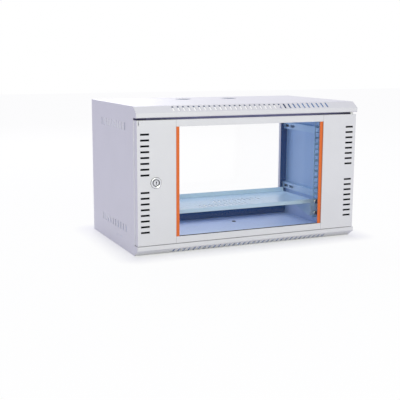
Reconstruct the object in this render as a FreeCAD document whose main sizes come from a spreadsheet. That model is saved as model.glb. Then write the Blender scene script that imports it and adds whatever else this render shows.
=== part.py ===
import FreeCAD, Part
import math
import os
import Sketcher

# Six-unit wall cabinet for 19-inch equipment, with a framed glass door and a key lock.
# Millimetres. X runs across the front, Y from front to back, Z up from the underside.
# The origin is the middle of the footprint.

SIZES = (
    ("side_space", 75, "from the mounting rails' clear width to the outside"),
    ("body_depth", 352, "from the door's face to the back"),
    ("nose_reach", 2, "how far the covers' noses stand proud of the door"),
    ("sheet", 1.2, "body sheet"),
    ("bevel_height", 15, "rise of the sloping fronts of the covers"),
    ("bevel_run", 22, "depth of the sloping fronts of the covers"),
    ("top_nose_height", 11, "upright nose of the top cover"),
    ("bottom_nose_height", 10, "upright nose of the bottom cover"),
    ("bend_radius", 3, "outer radius of the covers' bends"),
    ("cover_flange", 36, "side flanges of the covers"),
    ("closing_lip", 12, "lips of the covers behind the door"),
    ("vent_width", 4.5, "width of the slots in the slopes"),
    ("vent_height", 10, "height of the slots in the slopes, measured upright"),
    ("vent_pitch", 13.5, "spacing of the slots in the slopes"),
    ("vent_count", 32, "slots in each slope"),
    ("vent_shift", 5, "how far the row of slots is off the middle"),
    ("vent_inset", 2, "from the flat of the cover to its slots"),
    ("entry_bore", 44, "round cable entries in the top"),
    ("entry_spacing", 136, "between the two cable entries"),
    ("entry_inset", 76, "from the back to the middle of the cable entries"),
    ("pilot_bore", 6, "small hole in each cover"),
    ("pilot_side", 92, "small hole, off the middle"),
    ("top_pilot_inset", 45, "small hole in the top, from the back"),
    ("bottom_pilot_inset", 68, "small hole in the bottom, from the back"),
    ("side_slot_width", 5, "slots in the side panels"),
    ("side_slot_height", 18, "slots in the side panels"),
    ("side_slot_pitch", 20.2, "spacing of the side slots"),
    ("side_slot_count", 10, "side slots in a row"),
    ("side_slot_front", 80, "from the door's face to the first side slot"),
    ("side_slot_low", 54.5, "from the underside to the middle of the lower row of side slots"),
    ("side_slot_drop", 50, "from the top to the middle of the upper row of side slots"),
    ("rivet_hole", 5, "small holes low in the side panels"),
    ("rivet_height", 28, "small side holes, above the underside"),
    ("rivet_front", 118, "from the door's face to the first small side hole"),
    ("rivet_pitch", 26, "between the small side holes"),
    ("rear_stile", 27, "rear frame beside its opening"),
    ("rear_rail", 27, "rear frame above and below its opening"),
    ("opening_flange", 10, "flange folded in around the rear opening"),
    ("wall_hole_bore", 10, "wall fixing holes"),
    ("wall_hole_side", 13, "wall fixing holes, from the cabinet's sides"),
    ("wall_hole_end", 60, "wall fixing holes, from the top and the underside"),
    ("door_top_gap", 5.5, "between the door and the top cover"),
    ("door_bottom_gap", 1.5, "between the door and the bottom cover"),
    ("door_side_gap", 2, "from the cabinet's sides to the door's edges"),
    ("door_thickness", 18, "depth of the stiles"),
    ("door_backset", 6, "between the door's back and the posts"),
    ("panel_backset", 2, "between the door's back and the side panels"),
    ("stile_width", 97, "door stiles"),
    ("door_rail_height", 16, "top and bottom rails of the door"),
    ("door_lip", 12, "inner lips of the stiles"),
    ("door_slot_length", 22, "slots in the stiles"),
    ("door_slot_width", 4.6, "slots in the stiles"),
    ("door_slot_pitch", 13.5, "spacing of the stile slots"),
    ("door_slot_count", 8, "slots in each group"),
    ("door_slot_inset", 19, "from the door's outer edge to the middle of the slots"),
    ("slot_group_gap", 41, "between the two groups, middle to middle of their end slots"),
    ("door_mark_height", 10, "small upright slit at the corner of the door"),
    ("door_mark_width", 1.6, "small upright slit at the corner of the door"),
    ("door_mark_inset", 4, "slit, from the door's outer edge"),
    ("door_mark_drop", 6.5, "slit, from the door's middle to the top edge"),
    ("glass_thickness", 4, "toughened glass"),
    ("glass_cover", 8.5, "how far the glass goes into the door's rails"),
    ("glass_side_gap", 1.5, "from the glass to the stiles"),
    ("gasket_wall", 1.8, "legs of the rubber gaskets and of the edge strips"),
    ("strip_width", 9, "orange edge strips"),
    ("post_width", 32, "front posts"),
    ("post_return", 18, "inner return of the posts"),
    ("strike_margin", 3.6, "between that opening and the edge of the return"),
    ("strike_height", 90, "opening in the post for the cam"),
    ("rail_sheet", 1.5, "depth rails, mounting rails and shelf"),
    ("depth_rail_height", 19, "depth rails"),
    ("depth_rail_reach", 11, "from the side panel to the face of the depth rails"),
    ("depth_rail_inset", 87, "middle of the depth rails, from the underside and from the top"),
    ("rail_slot_length", 22, "slots in the depth rails"),
    ("rail_slot_width", 7, "slots in the depth rails"),
    ("rail_slot_pitch", 31, "spacing of the depth rail slots"),
    ("rail_slot_front", 76, "from the door's face to the first depth rail slot"),
    ("rail_slot_rear", 21, "from the back to the last depth rail slot"),
    ("rack_setback", 78, "from the door's face to the mounting rails"),
    ("rack_opening", 450, "clear width between the mounting rails"),
    ("rack_hole_inset", 7.55, "from the rail's edge to the middle of its square holes"),
    ("rack_unit", 44.45, "one rack unit"),
    ("rack_units", 6, "height in rack units"),
    ("rack_base", 46.5, "cabinet below the first rack unit"),
    ("rack_head", 38.8, "cabinet above the last rack unit"),
    ("rack_hole", 9.5, "square holes"),
    ("rack_first_hole", 6.35, "from the foot of a unit to its first hole"),
    ("rack_hole_step", 15.875, "between the holes of a unit"),
    ("rack_end_gap", 6, "mounting rails beyond the first and last unit"),
    ("rack_face_width", 25, "front flange of the mounting rails"),
    ("rack_web", 22, "web of the mounting rails"),
    ("rack_foot", 20, "foot of the mounting rails"),
    ("bolt_diameter", 6, "rail bolts and shelf screws"),
    ("bolt_head", 12, "heads of the bolts and screws"),
    ("bolt_head_height", 3.4, "heads of the bolts and screws"),
    ("nut_width", 10, "nuts across the flats"),
    ("nut_height", 5, "nuts"),
    ("bolt_clearance", 0.3, "around a bolt in its hole"),
    ("shelf_side_gap", 7, "from the shelf's sides to the mounting rails' clear width"),
    ("shelf_depth", 150, "shelf, front to back"),
    ("shelf_lip", 10, "front lip of the shelf, folded down"),
    ("shelf_rear_lip", 11, "rear lip of the shelf, folded up"),
    ("shelf_ear_reach", 16.3, "shelf ears beyond the rack's clear width"),
    ("shelf_ear_trim", 0.8, "ear height short of one rack unit"),
    ("shelf_ear_slot", 10.6, "slots in the shelf ears"),
    ("shelf_slot_length", 30, "slots in the shelf"),
    ("shelf_slot_width", 5, "slots in the shelf"),
    ("shelf_slot_pitch", 14, "spacing of the shelf slots"),
    ("shelf_slot_count", 10, "slots in each row"),
    ("shelf_row_front", 24, "from the shelf's front to the middle of the first row"),
    ("shelf_row_pitch", 46, "between the two rows"),
    ("shelf_row_shift", 30, "how far each row is off the middle"),
    ("hinge_inset", 11, "from the cabinet's side to the hinge pins"),
    ("pin_diameter", 8, "hinge pins"),
    ("pin_socket", 12, "hinge pins inside the door, to their head"),
    ("pin_head", 13, "six-sided inner head of the hinge pins, across its flats"),
    ("pin_head_height", 4, "inner head of the hinge pins"),
    ("pin_clearance", 0.3, "around the hinge pins"),
    ("bush_wall", 2, "hinge bushes"),
    ("bush_length", 6, "hinge bushes, inside the covers"),
    ("bush_stand", 1.2, "hinge bushes, on the door's side of the covers"),
    ("lock_inset", 48, "from the cabinet's side to the lock"),
    ("lock_rise", 1.5, "lock above the middle of the door"),
    ("lock_rim", 26, "rim of the lock"),
    ("lock_rim_height", 2.6, "rim of the lock"),
    ("lock_barrel", 19, "barrel of the lock"),
    ("lock_barrel_length", 24, "barrel, from the door's face"),
    ("lock_plug", 13, "turning plug"),
    ("lock_clearance", 0.2, "around the plug"),
    ("lock_nut_width", 24, "nut across the flats"),
    ("lock_nut_height", 4, "nut"),
    ("key_slot_length", 8, "key slot"),
    ("key_slot_width", 1.8, "key slot"),
    ("key_slot_depth", 5, "key slot"),
    ("cam_length", 40, "from the plug's middle to the cam's tip"),
    ("cam_width", 15, "cam"),
    ("cam_heel", 11.2, "from the plug's middle to the cam's other end"),
    ("cam_thickness", 2, "cam"),
    ("cam_gap", 1, "between the post and the cam"),
    ("cam_square", 7, "square end of the plug"),
    ("cam_screw_head", 11, "head of the cam screw"),
    ("cam_screw_height", 2.4, "head of the cam screw"),
)

SHEET_NAME = "Sizes"
HOLES_IN_UNIT = 3

doc = FreeCAD.newDocument("wall_cabinet")
sheet_table = doc.addObject("Spreadsheet::Sheet", SHEET_NAME)


class Size:
    """A number together with the formula that gives it from the sheet."""

    def __init__(self, value, text):
        self.value = float(value)
        self.text = text

    def __add__(self, other):
        other = as_size(other)
        return Size(self.value + other.value, f"({self.text} + {other.text})")

    def __sub__(self, other):
        other = as_size(other)
        return Size(self.value - other.value, f"({self.text} - {other.text})")

    def __mul__(self, other):
        other = as_size(other)
        return Size(self.value * other.value, f"({self.text} * {other.text})")

    def __truediv__(self, other):
        other = as_size(other)
        return Size(self.value / other.value, f"({self.text} / {other.text})")

    def __neg__(self):
        return self * -1


def as_size(number):
    return number if isinstance(number, Size) else Size(number, f"({number})")


def hypotenuse(first, second):
    squares = first * first + second * second
    return Size(math.sqrt(squares.value), f"sqrt({squares.text})")


def fill_sheet():
    sizes = {}
    for row, (name, value, note) in enumerate(SIZES, start=1):
        sheet_table.set(f"A{row}", name.replace("_", " "))
        sheet_table.set(f"B{row}", str(value))
        sheet_table.set(f"C{row}", note)
        sheet_table.setAlias(f"B{row}", name)
        sizes[name] = Size(value, f"{SHEET_NAME}.{name}")
    doc.recompute()
    return sizes


s = fill_sheet()

# Places shared by several sub-parts
half_width = s["rack_opening"] / 2 + s["side_space"]
inner_half = half_width - s["sheet"]
back_y = (s["body_depth"] + s["nose_reach"]) / 2
face_y = back_y - s["body_depth"]
nose_y = face_y - s["nose_reach"]
slope_end_y = nose_y + s["bevel_run"]
post_y = face_y + s["door_thickness"] + s["door_backset"]
post_back_y = post_y + s["sheet"]
panel_front_y = face_y + s["door_thickness"] + s["panel_backset"]
rear_y = back_y - s["sheet"]
roof_z = s["rack_unit"] * s["rack_units"] + s["rack_base"] + s["rack_head"]
top_slope_z = roof_z - s["bevel_height"]
top_ledge_z = top_slope_z - s["top_nose_height"]
bottom_ledge_z = s["bevel_height"] + s["bottom_nose_height"]
door_top_z = top_ledge_z - s["door_top_gap"]
door_bottom_z = bottom_ledge_z + s["door_bottom_gap"]
door_middle_z = (door_top_z + door_bottom_z) / 2
door_half = half_width - s["door_side_gap"]
window_half = door_half - s["stile_width"]
window_top_z = door_top_z - s["door_rail_height"]
window_bottom_z = door_bottom_z + s["door_rail_height"]
glass_y = face_y + s["sheet"] + s["gasket_wall"]
glass_back_y = glass_y + s["glass_thickness"]
channel_back_y = glass_back_y + s["gasket_wall"]
hinge_x = half_width - s["hinge_inset"]
hinge_y = face_y + s["door_thickness"] / 2
lock_x = s["lock_inset"] - half_width
lock_z = door_middle_z + s["lock_rise"]
rail_face_x = inner_half - s["depth_rail_reach"]
rivet_y = face_y + s["rivet_front"]
depth_rail_levels = (s["depth_rail_inset"], roof_z - s["depth_rail_inset"])
rack_y = face_y + s["rack_setback"]
rack_back_y = rack_y + s["rail_sheet"]
rack_low_z = s["rack_base"] - s["rack_end_gap"]
rack_high_z = s["rack_base"] + s["rack_unit"] * s["rack_units"] + s["rack_end_gap"]
rack_web_y = rack_y + s["rack_web"]
rack_column_x = s["rack_opening"] / 2 + s["rack_hole_inset"]
rack_bolt_y = face_y + s["rail_slot_front"] + s["rail_slot_pitch"]
shelf_half = s["rack_opening"] / 2 - s["shelf_side_gap"]
shelf_top_z = s["rack_base"] + s["rack_unit"]
ear_y = rack_y - s["rail_sheet"]


def origin_plane(body, role):
    return next(item for item in body.Origin.OriginFeatures if item.Role == role)


def new_body(name):
    body = doc.addObject("PartDesign::Body", name)
    body.Label = name
    return body


def new_sketch(body, name, role, offset=None):
    """A sketch on one of the body's own planes, moved along that plane's normal."""
    sketch = body.newObject("Sketcher::SketchObject", f"{body.Label}_{name}")
    sketch.AttachmentSupport = [(origin_plane(body, role), "")]
    sketch.MapMode = "FlatFace"
    if offset is not None:
        sketch.setExpression("AttachmentOffset.Base.z", offset.text)
    return sketch


def hold(sketch, kind, geometry, point, size):
    """Tie one point to the sketch's origin by a size of the sheet."""
    size = as_size(size)
    number = sketch.addConstraint(Sketcher.Constraint(kind, -1, 1, geometry, point, size.value))
    sketch.setExpression(f"Constraints[{number}]", size.text)


def add_polygon(sketch, corners):
    corners = [(as_size(across), as_size(up)) for across, up in corners]
    vectors = [FreeCAD.Vector(across.value, up.value, 0) for across, up in corners]
    lines = []
    for start, end in zip(vectors, vectors[1:] + vectors[:1]):
        lines.append(sketch.addGeometry(Part.LineSegment(start, end)))
    for line, following in zip(lines, lines[1:] + lines[:1]):
        sketch.addConstraint(Sketcher.Constraint("Coincident", line, 2, following, 1))
    for line, (across, up) in zip(lines, corners):
        hold(sketch, "DistanceX", line, 1, across)
        hold(sketch, "DistanceY", line, 1, up)


def add_rectangle(sketch, left, right, low, high):
    add_polygon(sketch, [(left, low), (right, low), (right, high), (left, high)])


def add_circle(sketch, across, up, diameter):
    across, up, diameter = as_size(across), as_size(up), as_size(diameter)
    centre = FreeCAD.Vector(across.value, up.value, 0)
    circle = sketch.addGeometry(Part.Circle(centre, FreeCAD.Vector(0, 0, 1), diameter.value / 2))
    hold(sketch, "DistanceX", circle, 3, across)
    hold(sketch, "DistanceY", circle, 3, up)
    number = sketch.addConstraint(Sketcher.Constraint("Diameter", circle, diameter.value))
    sketch.setExpression(f"Constraints[{number}]", diameter.text)


def add_hexagon(sketch, across, up, flats):
    """A hexagon with two upright sides, its middle at the given place."""
    across, up = as_size(across), as_size(up)
    corner_radius = flats / math.sqrt(3)
    corners = []
    for step in range(6):
        angle = math.radians(30 + 60 * step)
        corners.append((across + corner_radius * math.cos(angle), up + corner_radius * math.sin(angle)))
    add_polygon(sketch, corners)


def add_slot(sketch, across, up, length, width, upright=False):
    """A punched slot, along the sketch's first axis or its second."""
    wide, high = (width, length) if upright else (length, width)
    across, up = as_size(across), as_size(up)
    add_rectangle(sketch, across - wide / 2, across + wide / 2, up - high / 2, up + high / 2)


def pad(body, sketch, length, backwards=False):
    feature = body.newObject("PartDesign::Pad", f"{sketch.Label}_pad")
    feature.Profile = sketch
    feature.Length = length.value
    feature.setExpression("Length", length.text)
    feature.Reversed = backwards
    return feature


def pocket(body, sketch, length, backwards=False):
    feature = body.newObject("PartDesign::Pocket", f"{sketch.Label}_cut")
    feature.Profile = sketch
    feature.Length = length.value
    feature.setExpression("Length", length.text)
    feature.Reversed = backwards
    return feature


def repeat(body, feature, sketch, axis, pitch, count):
    """A row of copies of a cut, the first where the cut itself is."""
    row = body.newObject("PartDesign::LinearPattern", f"{feature.Label}_row")
    row.Originals = [feature]
    row.Direction = (sketch, [axis])
    row.setExpression("Length", (pitch * (count - 1)).text)
    row.setExpression("Occurrences", count.text)
    body.Tip = row
    return row


def across_edges(shape, places):
    """Names of the edges that run along X through the given places (Y, Z)."""
    names = []
    for number, edge in enumerate(shape.Edges, start=1):
        low = edge.BoundBox
        if low.XLength < low.YLength + low.ZLength:
            continue
        for place_y, place_z in places:
            if abs(low.YMin - place_y.value) + abs(low.ZMin - place_z.value) < 0.01:
                names.append(f"Edge{number}")
    return names


def round_edges(body, names, radius):
    base = body.Tip
    fillet = body.newObject("PartDesign::Fillet", f"{body.Label}_bends")
    fillet.Base = (base, names)
    fillet.Radius = radius.value
    fillet.setExpression("Radius", radius.text)
    body.Tip = fillet
    return fillet


def add_mirrored(sketch, side, corners):
    """A polygon drawn for the right side, or its mirror image for the left."""
    add_polygon(sketch, [(as_size(across) * side, up) for across, up in corners])


def folded_cover(name, on_top):
    """Flat, slope, nose, ledge and closing lip folded from one sheet, with its side flanges."""

    def level(depth):
        return roof_z - depth if on_top else as_size(depth)

    body = new_body(name)
    nose_height = s["top_nose_height"] if on_top else s["bottom_nose_height"]
    ledge = s["bevel_height"] + nose_height
    slope = hypotenuse(s["bevel_run"], s["bevel_height"])
    inner_nose = s["bevel_height"] + s["sheet"] * (slope - s["bevel_height"]) / s["bevel_run"]
    inner_slope_y = slope_end_y + s["sheet"] * (slope - s["bevel_run"]) / s["bevel_height"]
    outer = [
        (back_y, 0), (slope_end_y, 0), (nose_y, s["bevel_height"]), (nose_y, ledge), (post_back_y, ledge),
    ]
    inner = [
        (post_back_y, ledge - s["sheet"]), (nose_y + s["sheet"], ledge - s["sheet"]),
        (nose_y + s["sheet"], inner_nose), (inner_slope_y, s["sheet"]), (back_y, s["sheet"]),
    ]
    profile = new_sketch(body, "profile", "YZ_Plane", -inner_half)
    add_polygon(profile, [(along, level(depth)) for along, depth in outer + inner])
    pad(body, profile, inner_half * 2)
    doc.recompute()
    for corners, radius in ((outer[1:4], s["bend_radius"]), (inner[1:4], s["bend_radius"] - s["sheet"])):
        places = [(along, level(depth)) for along, depth in corners]
        round_edges(body, across_edges(body.Shape, places), radius)
        doc.recompute()

    flanges = new_sketch(body, "flanges", "XZ_Plane", -post_back_y)
    flange_levels = (level(s["sheet"]), level(s["cover_flange"]))
    for side in (-1, 1):
        flange_sides = (inner_half * side, (inner_half - s["sheet"]) * side)
        add_rectangle(flanges, *flange_sides, *flange_levels)
    pad(body, flanges, rear_y - post_back_y, backwards=True)

    lip = new_sketch(body, "lip", "XZ_Plane", -post_y)
    lip_half = inner_half - s["post_width"]
    add_rectangle(lip, -lip_half, lip_half, level(ledge - s["sheet"]), level(ledge + s["closing_lip"]))
    pad(body, lip, s["sheet"], backwards=True)

    first_vent = s["vent_shift"] - s["vent_pitch"] * (s["vent_count"] - 1) / 2
    vent = new_sketch(body, "vent", "XZ_Plane", -nose_y)
    vent_levels = (level(s["vent_inset"]), level(s["vent_inset"] + s["vent_height"]))
    add_rectangle(vent, first_vent - s["vent_width"] / 2, first_vent + s["vent_width"] / 2, *vent_levels)
    cut = pocket(body, vent, s["bevel_run"])
    repeat(body, cut, vent, "H_Axis", s["vent_pitch"], s["vent_count"])

    holes = new_sketch(body, "holes", "XY_Plane", level(0))
    if on_top:
        for side in (-1, 1):
            add_circle(holes, s["entry_spacing"] / 2 * side, back_y - s["entry_inset"], s["entry_bore"])
        add_circle(holes, -s["pilot_side"], back_y - s["top_pilot_inset"], s["pilot_bore"])
    else:
        add_circle(holes, s["pilot_side"], back_y - s["bottom_pilot_inset"], s["pilot_bore"])
    pocket(body, holes, s["sheet"], backwards=not on_top)

    bush_hole = new_sketch(body, "bush_hole", "XY_Plane", level(ledge))
    add_circle(bush_hole, hinge_x, hinge_y, bush_outside)
    pocket(body, bush_hole, s["sheet"], backwards=on_top)
    return body


def side_panel(name, side):
    body = new_body(name)
    outline = new_sketch(body, "outline", "YZ_Plane", inner_half if side > 0 else -half_width)
    add_polygon(outline, [
        (back_y, 0), (slope_end_y, 0), (nose_y, s["bevel_height"]), (nose_y, bottom_ledge_z),
        (panel_front_y, bottom_ledge_z), (panel_front_y, top_ledge_z), (nose_y, top_ledge_z),
        (nose_y, top_slope_z), (slope_end_y, roof_z), (back_y, roof_z),
    ])
    pad(body, outline, s["sheet"])
    slots = new_sketch(body, "slots", "YZ_Plane", half_width * side)
    for height in (s["side_slot_low"], roof_z - s["side_slot_drop"]):
        first_y = face_y + s["side_slot_front"]
        add_slot(slots, first_y, height, s["side_slot_height"], s["side_slot_width"], upright=True)
    cut = pocket(body, slots, s["sheet"], backwards=side < 0)
    repeat(body, cut, slots, "H_Axis", s["side_slot_pitch"], s["side_slot_count"])
    holes = new_sketch(body, "rivet_holes", "YZ_Plane", half_width * side)
    for along in (rivet_y, rivet_y + s["rivet_pitch"]):
        add_circle(holes, along, s["rivet_height"], s["rivet_hole"])
    pocket(body, holes, s["sheet"], backwards=side < 0)
    return body


def rear_frame():
    body = new_body("rear_frame")
    half_opening = half_width - s["rear_stile"]
    low_z, high_z = s["rear_rail"], roof_z - s["rear_rail"]
    plate = new_sketch(body, "plate", "XZ_Plane", -rear_y)
    add_rectangle(plate, -inner_half, inner_half, s["sheet"], roof_z - s["sheet"])
    add_rectangle(plate, -half_opening, half_opening, low_z, high_z)
    pad(body, plate, s["sheet"], backwards=True)
    flange = new_sketch(body, "flange", "XZ_Plane", -rear_y)
    wide_opening = half_opening + s["sheet"]
    add_rectangle(flange, -wide_opening, wide_opening, low_z - s["sheet"], high_z + s["sheet"])
    add_rectangle(flange, -half_opening, half_opening, low_z, high_z)
    pad(body, flange, s["opening_flange"])
    holes = new_sketch(body, "wall_holes", "XZ_Plane", -rear_y)
    for side in (-1, 1):
        for level in (s["wall_hole_end"], roof_z - s["wall_hole_end"]):
            add_circle(holes, (half_width - s["wall_hole_side"]) * side, level, s["wall_hole_bore"])
    pocket(body, holes, s["sheet"])
    return body


def front_post(name, side):
    """An upright behind the door's edge, with an opening in its return for the lock's cam."""
    body = new_body(name)
    inner_x = inner_half - s["post_width"]
    return_y = post_y + s["post_return"]
    profile = new_sketch(body, "profile", "XY_Plane", bottom_ledge_z)
    add_mirrored(profile, side, [
        (inner_half, post_y), (inner_half, post_back_y), (inner_x + s["sheet"], post_back_y),
        (inner_x + s["sheet"], return_y), (inner_x, return_y), (inner_x, post_y),
    ])
    pad(body, profile, top_ledge_z - bottom_ledge_z)
    strike = new_sketch(body, "strike", "YZ_Plane", (inner_x + s["sheet"]) * side)
    low_z, high_z = lock_z - s["strike_height"] / 2, lock_z + s["strike_height"] / 2
    add_rectangle(strike, post_back_y, return_y - s["strike_margin"], low_z, high_z)
    pocket(body, strike, s["sheet"], backwards=side < 0)
    return body


def depth_rail(name, side, middle_z):
    """A channel between the post and the rear frame, open towards the side panel."""
    body = new_body(name)
    low_z, high_z = middle_z - s["depth_rail_height"] / 2, middle_z + s["depth_rail_height"] / 2
    web_x = rail_face_x + s["rail_sheet"]
    profile = new_sketch(body, "profile", "XZ_Plane", -post_back_y)
    add_mirrored(profile, side, [
        (rail_face_x, low_z), (inner_half, low_z), (inner_half, low_z + s["rail_sheet"]),
        (web_x, low_z + s["rail_sheet"]), (web_x, high_z - s["rail_sheet"]),
        (inner_half, high_z - s["rail_sheet"]), (inner_half, high_z), (rail_face_x, high_z),
    ])
    pad(body, profile, rear_y - post_back_y, backwards=True)
    slots = new_sketch(body, "slots", "YZ_Plane", web_x * side)
    first_y = face_y + s["rail_slot_front"]
    last_y = back_y - s["rail_slot_rear"]
    for slot_y in (first_y, first_y + s["rail_slot_pitch"], last_y - s["rail_slot_pitch"], last_y):
        add_slot(slots, slot_y, middle_z, s["rail_slot_length"], s["rail_slot_width"])
    pocket(body, slots, s["rail_sheet"], backwards=side < 0)
    return body


def mounting_rail(name, side):
    """A folded upright: face with square holes, web, outward leg and bolted foot."""
    body = new_body(name)
    opening_x = s["rack_opening"] / 2
    web_x = opening_x + s["rack_face_width"]
    leg_y = rack_web_y - s["rail_sheet"]
    foot_y = leg_y + s["rack_foot"]
    foot_x = rail_face_x - s["rail_sheet"]
    profile = new_sketch(body, "profile", "XY_Plane", rack_low_z)
    add_mirrored(profile, side, [
        (opening_x, rack_y), (web_x, rack_y), (web_x, leg_y), (rail_face_x, leg_y), (rail_face_x, foot_y),
        (foot_x, foot_y), (foot_x, rack_web_y), (web_x - s["rail_sheet"], rack_web_y),
        (web_x - s["rail_sheet"], rack_back_y), (opening_x, rack_back_y),
    ])
    pad(body, profile, rack_high_z - rack_low_z)
    holes = new_sketch(body, "rack_holes", "XZ_Plane", -rack_y)
    half_hole = s["rack_hole"] / 2
    hole_sides = (rack_column_x * side - half_hole, rack_column_x * side + half_hole)
    for step in range(HOLES_IN_UNIT):
        hole_z = s["rack_base"] + s["rack_first_hole"] + s["rack_hole_step"] * step
        add_rectangle(holes, *hole_sides, hole_z - half_hole, hole_z + half_hole)
    cut = pocket(body, holes, s["rail_sheet"])
    repeat(body, cut, holes, "V_Axis", s["rack_unit"], s["rack_units"])
    bolts = new_sketch(body, "bolt_holes", "YZ_Plane", rail_face_x * side)
    bolt_hole = s["bolt_diameter"] + s["bolt_clearance"] * 2
    for middle_z in depth_rail_levels:
        add_slot(bolts, rack_bolt_y, middle_z, bolt_hole, bolt_hole)
    pocket(body, bolts, s["rail_sheet"], backwards=side < 0)
    return body


def shelf():
    """A tray screwed to the mounting rails, its front lip and gussets folded down, its rear lip up."""
    body = new_body("shelf")
    end_y = ear_y + s["shelf_depth"]
    under_z = shelf_top_z - s["rail_sheet"]
    lip_z = shelf_top_z - s["shelf_lip"]
    ear_low_z = shelf_top_z - s["rack_unit"] + s["shelf_ear_trim"]
    plate = new_sketch(body, "plate", "XY_Plane", under_z)
    add_rectangle(plate, -shelf_half, shelf_half, ear_y, end_y)
    pad(body, plate, s["rail_sheet"])
    for name, lip_y, levels in (
        ("front_lip", ear_y, (lip_z, under_z)),
        ("rear_lip", end_y - s["rail_sheet"], (shelf_top_z, shelf_top_z + s["shelf_rear_lip"])),
    ):
        lip = new_sketch(body, name, "XZ_Plane", -lip_y)
        add_rectangle(lip, -shelf_half, shelf_half, *levels)
        pad(body, lip, s["rail_sheet"], backwards=True)
    for name, gusset_x in (("left_gusset", -shelf_half), ("right_gusset", shelf_half - s["rail_sheet"])):
        gusset = new_sketch(body, name, "YZ_Plane", gusset_x)
        add_polygon(gusset, [
            (ear_y, under_z), (ear_y, ear_low_z), (ear_y + s["shelf_lip"], ear_low_z),
            (end_y, lip_z), (end_y, under_z),
        ])
        pad(body, gusset, s["rail_sheet"])
    ears = new_sketch(body, "ears", "XZ_Plane", -ear_y)
    ear_end_x = s["rack_opening"] / 2 + s["shelf_ear_reach"]
    for side in (-1, 1):
        add_mirrored(ears, side, [
            (shelf_half - s["rail_sheet"], ear_low_z), (ear_end_x, ear_low_z), (ear_end_x, shelf_top_z),
            (shelf_half - s["rail_sheet"], shelf_top_z),
        ])
    pad(body, ears, s["rail_sheet"], backwards=True)
    ear_slots = new_sketch(body, "ear_slots", "XZ_Plane", -ear_y)
    slot_width = s["bolt_diameter"] + s["bolt_clearance"] * 2
    for across, up in shelf_screw_places():
        add_slot(ear_slots, across, up, s["shelf_ear_slot"], slot_width)
    pocket(body, ear_slots, s["rail_sheet"])
    for number, shift in enumerate((-s["shelf_row_shift"], s["shelf_row_shift"])):
        vents = new_sketch(body, f"vents_{number}", "XY_Plane", shelf_top_z)
        first_x = shift - s["shelf_slot_pitch"] * (s["shelf_slot_count"] - 1) / 2
        row_y = ear_y + s["shelf_row_front"] + s["shelf_row_pitch"] * number
        add_slot(vents, first_x, row_y, s["shelf_slot_length"], s["shelf_slot_width"], upright=True)
        cut = pocket(body, vents, s["rail_sheet"])
        repeat(body, cut, vents, "H_Axis", s["shelf_slot_pitch"], s["shelf_slot_count"])
    return body


def shelf_screw_places():
    low_z = s["rack_base"] + s["rack_first_hole"]
    high_z = low_z + s["rack_hole_step"] * (HOLES_IN_UNIT - 1)
    return [(rack_column_x * side, up) for side in (-1, 1) for up in (low_z, high_z)]


def door_stile(name, side):
    """A folded pan: face, four walls and inner lips, open at the back."""
    body = new_body(name)
    outer = (window_half * side, door_half * side, door_bottom_z, door_top_z)
    back_lip_y = face_y + s["door_thickness"] - s["sheet"]

    def inset(amount):
        return (
            (window_half + amount) * side, (door_half - amount) * side,
            door_bottom_z + amount, door_top_z - amount,
        )

    face = new_sketch(body, "face", "XZ_Plane", -face_y)
    add_rectangle(face, *outer)
    pad(body, face, s["sheet"], backwards=True)
    walls = new_sketch(body, "walls", "XZ_Plane", -(face_y + s["sheet"]))
    add_rectangle(walls, *outer)
    add_rectangle(walls, *inset(s["sheet"]))
    pad(body, walls, s["door_thickness"] - s["sheet"] * 2, backwards=True)
    lips = new_sketch(body, "lips", "XZ_Plane", -back_lip_y)
    add_rectangle(lips, *outer)
    add_rectangle(lips, *inset(s["door_lip"]))
    pad(body, lips, s["sheet"], backwards=True)

    slots = new_sketch(body, "slots", "XZ_Plane", -face_y)
    group = s["door_slot_pitch"] * (s["door_slot_count"] - 1)
    upper_first = door_middle_z + s["slot_group_gap"] / 2
    for first in (upper_first, upper_first - s["slot_group_gap"] - group):
        slot_x = (door_half - s["door_slot_inset"]) * side
        add_slot(slots, slot_x, first, s["door_slot_length"], s["door_slot_width"])
    cut = pocket(body, slots, s["sheet"])
    repeat(body, cut, slots, "V_Axis", s["door_slot_pitch"], s["door_slot_count"])
    return body


def left_stile():
    body = door_stile("door_left_stile", -1)
    openings = new_sketch(body, "lock_hole", "XZ_Plane", -face_y)
    add_circle(openings, lock_x, lock_z, s["lock_barrel"])
    mark_x, mark_z = s["door_mark_inset"] - door_half, door_top_z - s["door_mark_drop"]
    add_slot(openings, mark_x, mark_z, s["door_mark_height"], s["door_mark_width"], upright=True)
    pocket(body, openings, s["sheet"])
    return body


def right_stile():
    body = door_stile("door_right_stile", 1)
    for name, level, upwards in (
        ("top_pin_hole", door_top_z, False), ("bottom_pin_hole", door_bottom_z, True),
    ):
        hole = new_sketch(body, name, "XY_Plane", level)
        add_circle(hole, hinge_x, hinge_y, s["pin_diameter"])
        pocket(body, hole, s["sheet"], backwards=upwards)
    return body


def door_rail(name, on_top):
    """A channel that holds one edge of the glass, with its gasket."""

    def level(depth):
        return door_top_z - depth if on_top else door_bottom_z + depth

    back = channel_back_y + s["sheet"]
    height = s["door_rail_height"]
    body = new_body(name)
    profile = new_sketch(body, "profile", "YZ_Plane", -window_half)
    add_polygon(profile, [(along, level(depth)) for along, depth in (
        (face_y, 0), (back, 0), (back, height), (channel_back_y, height), (channel_back_y, s["sheet"]),
        (face_y + s["sheet"], s["sheet"]), (face_y + s["sheet"], height), (face_y, height),
    )])
    pad(body, profile, window_half * 2)
    return body


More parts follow.
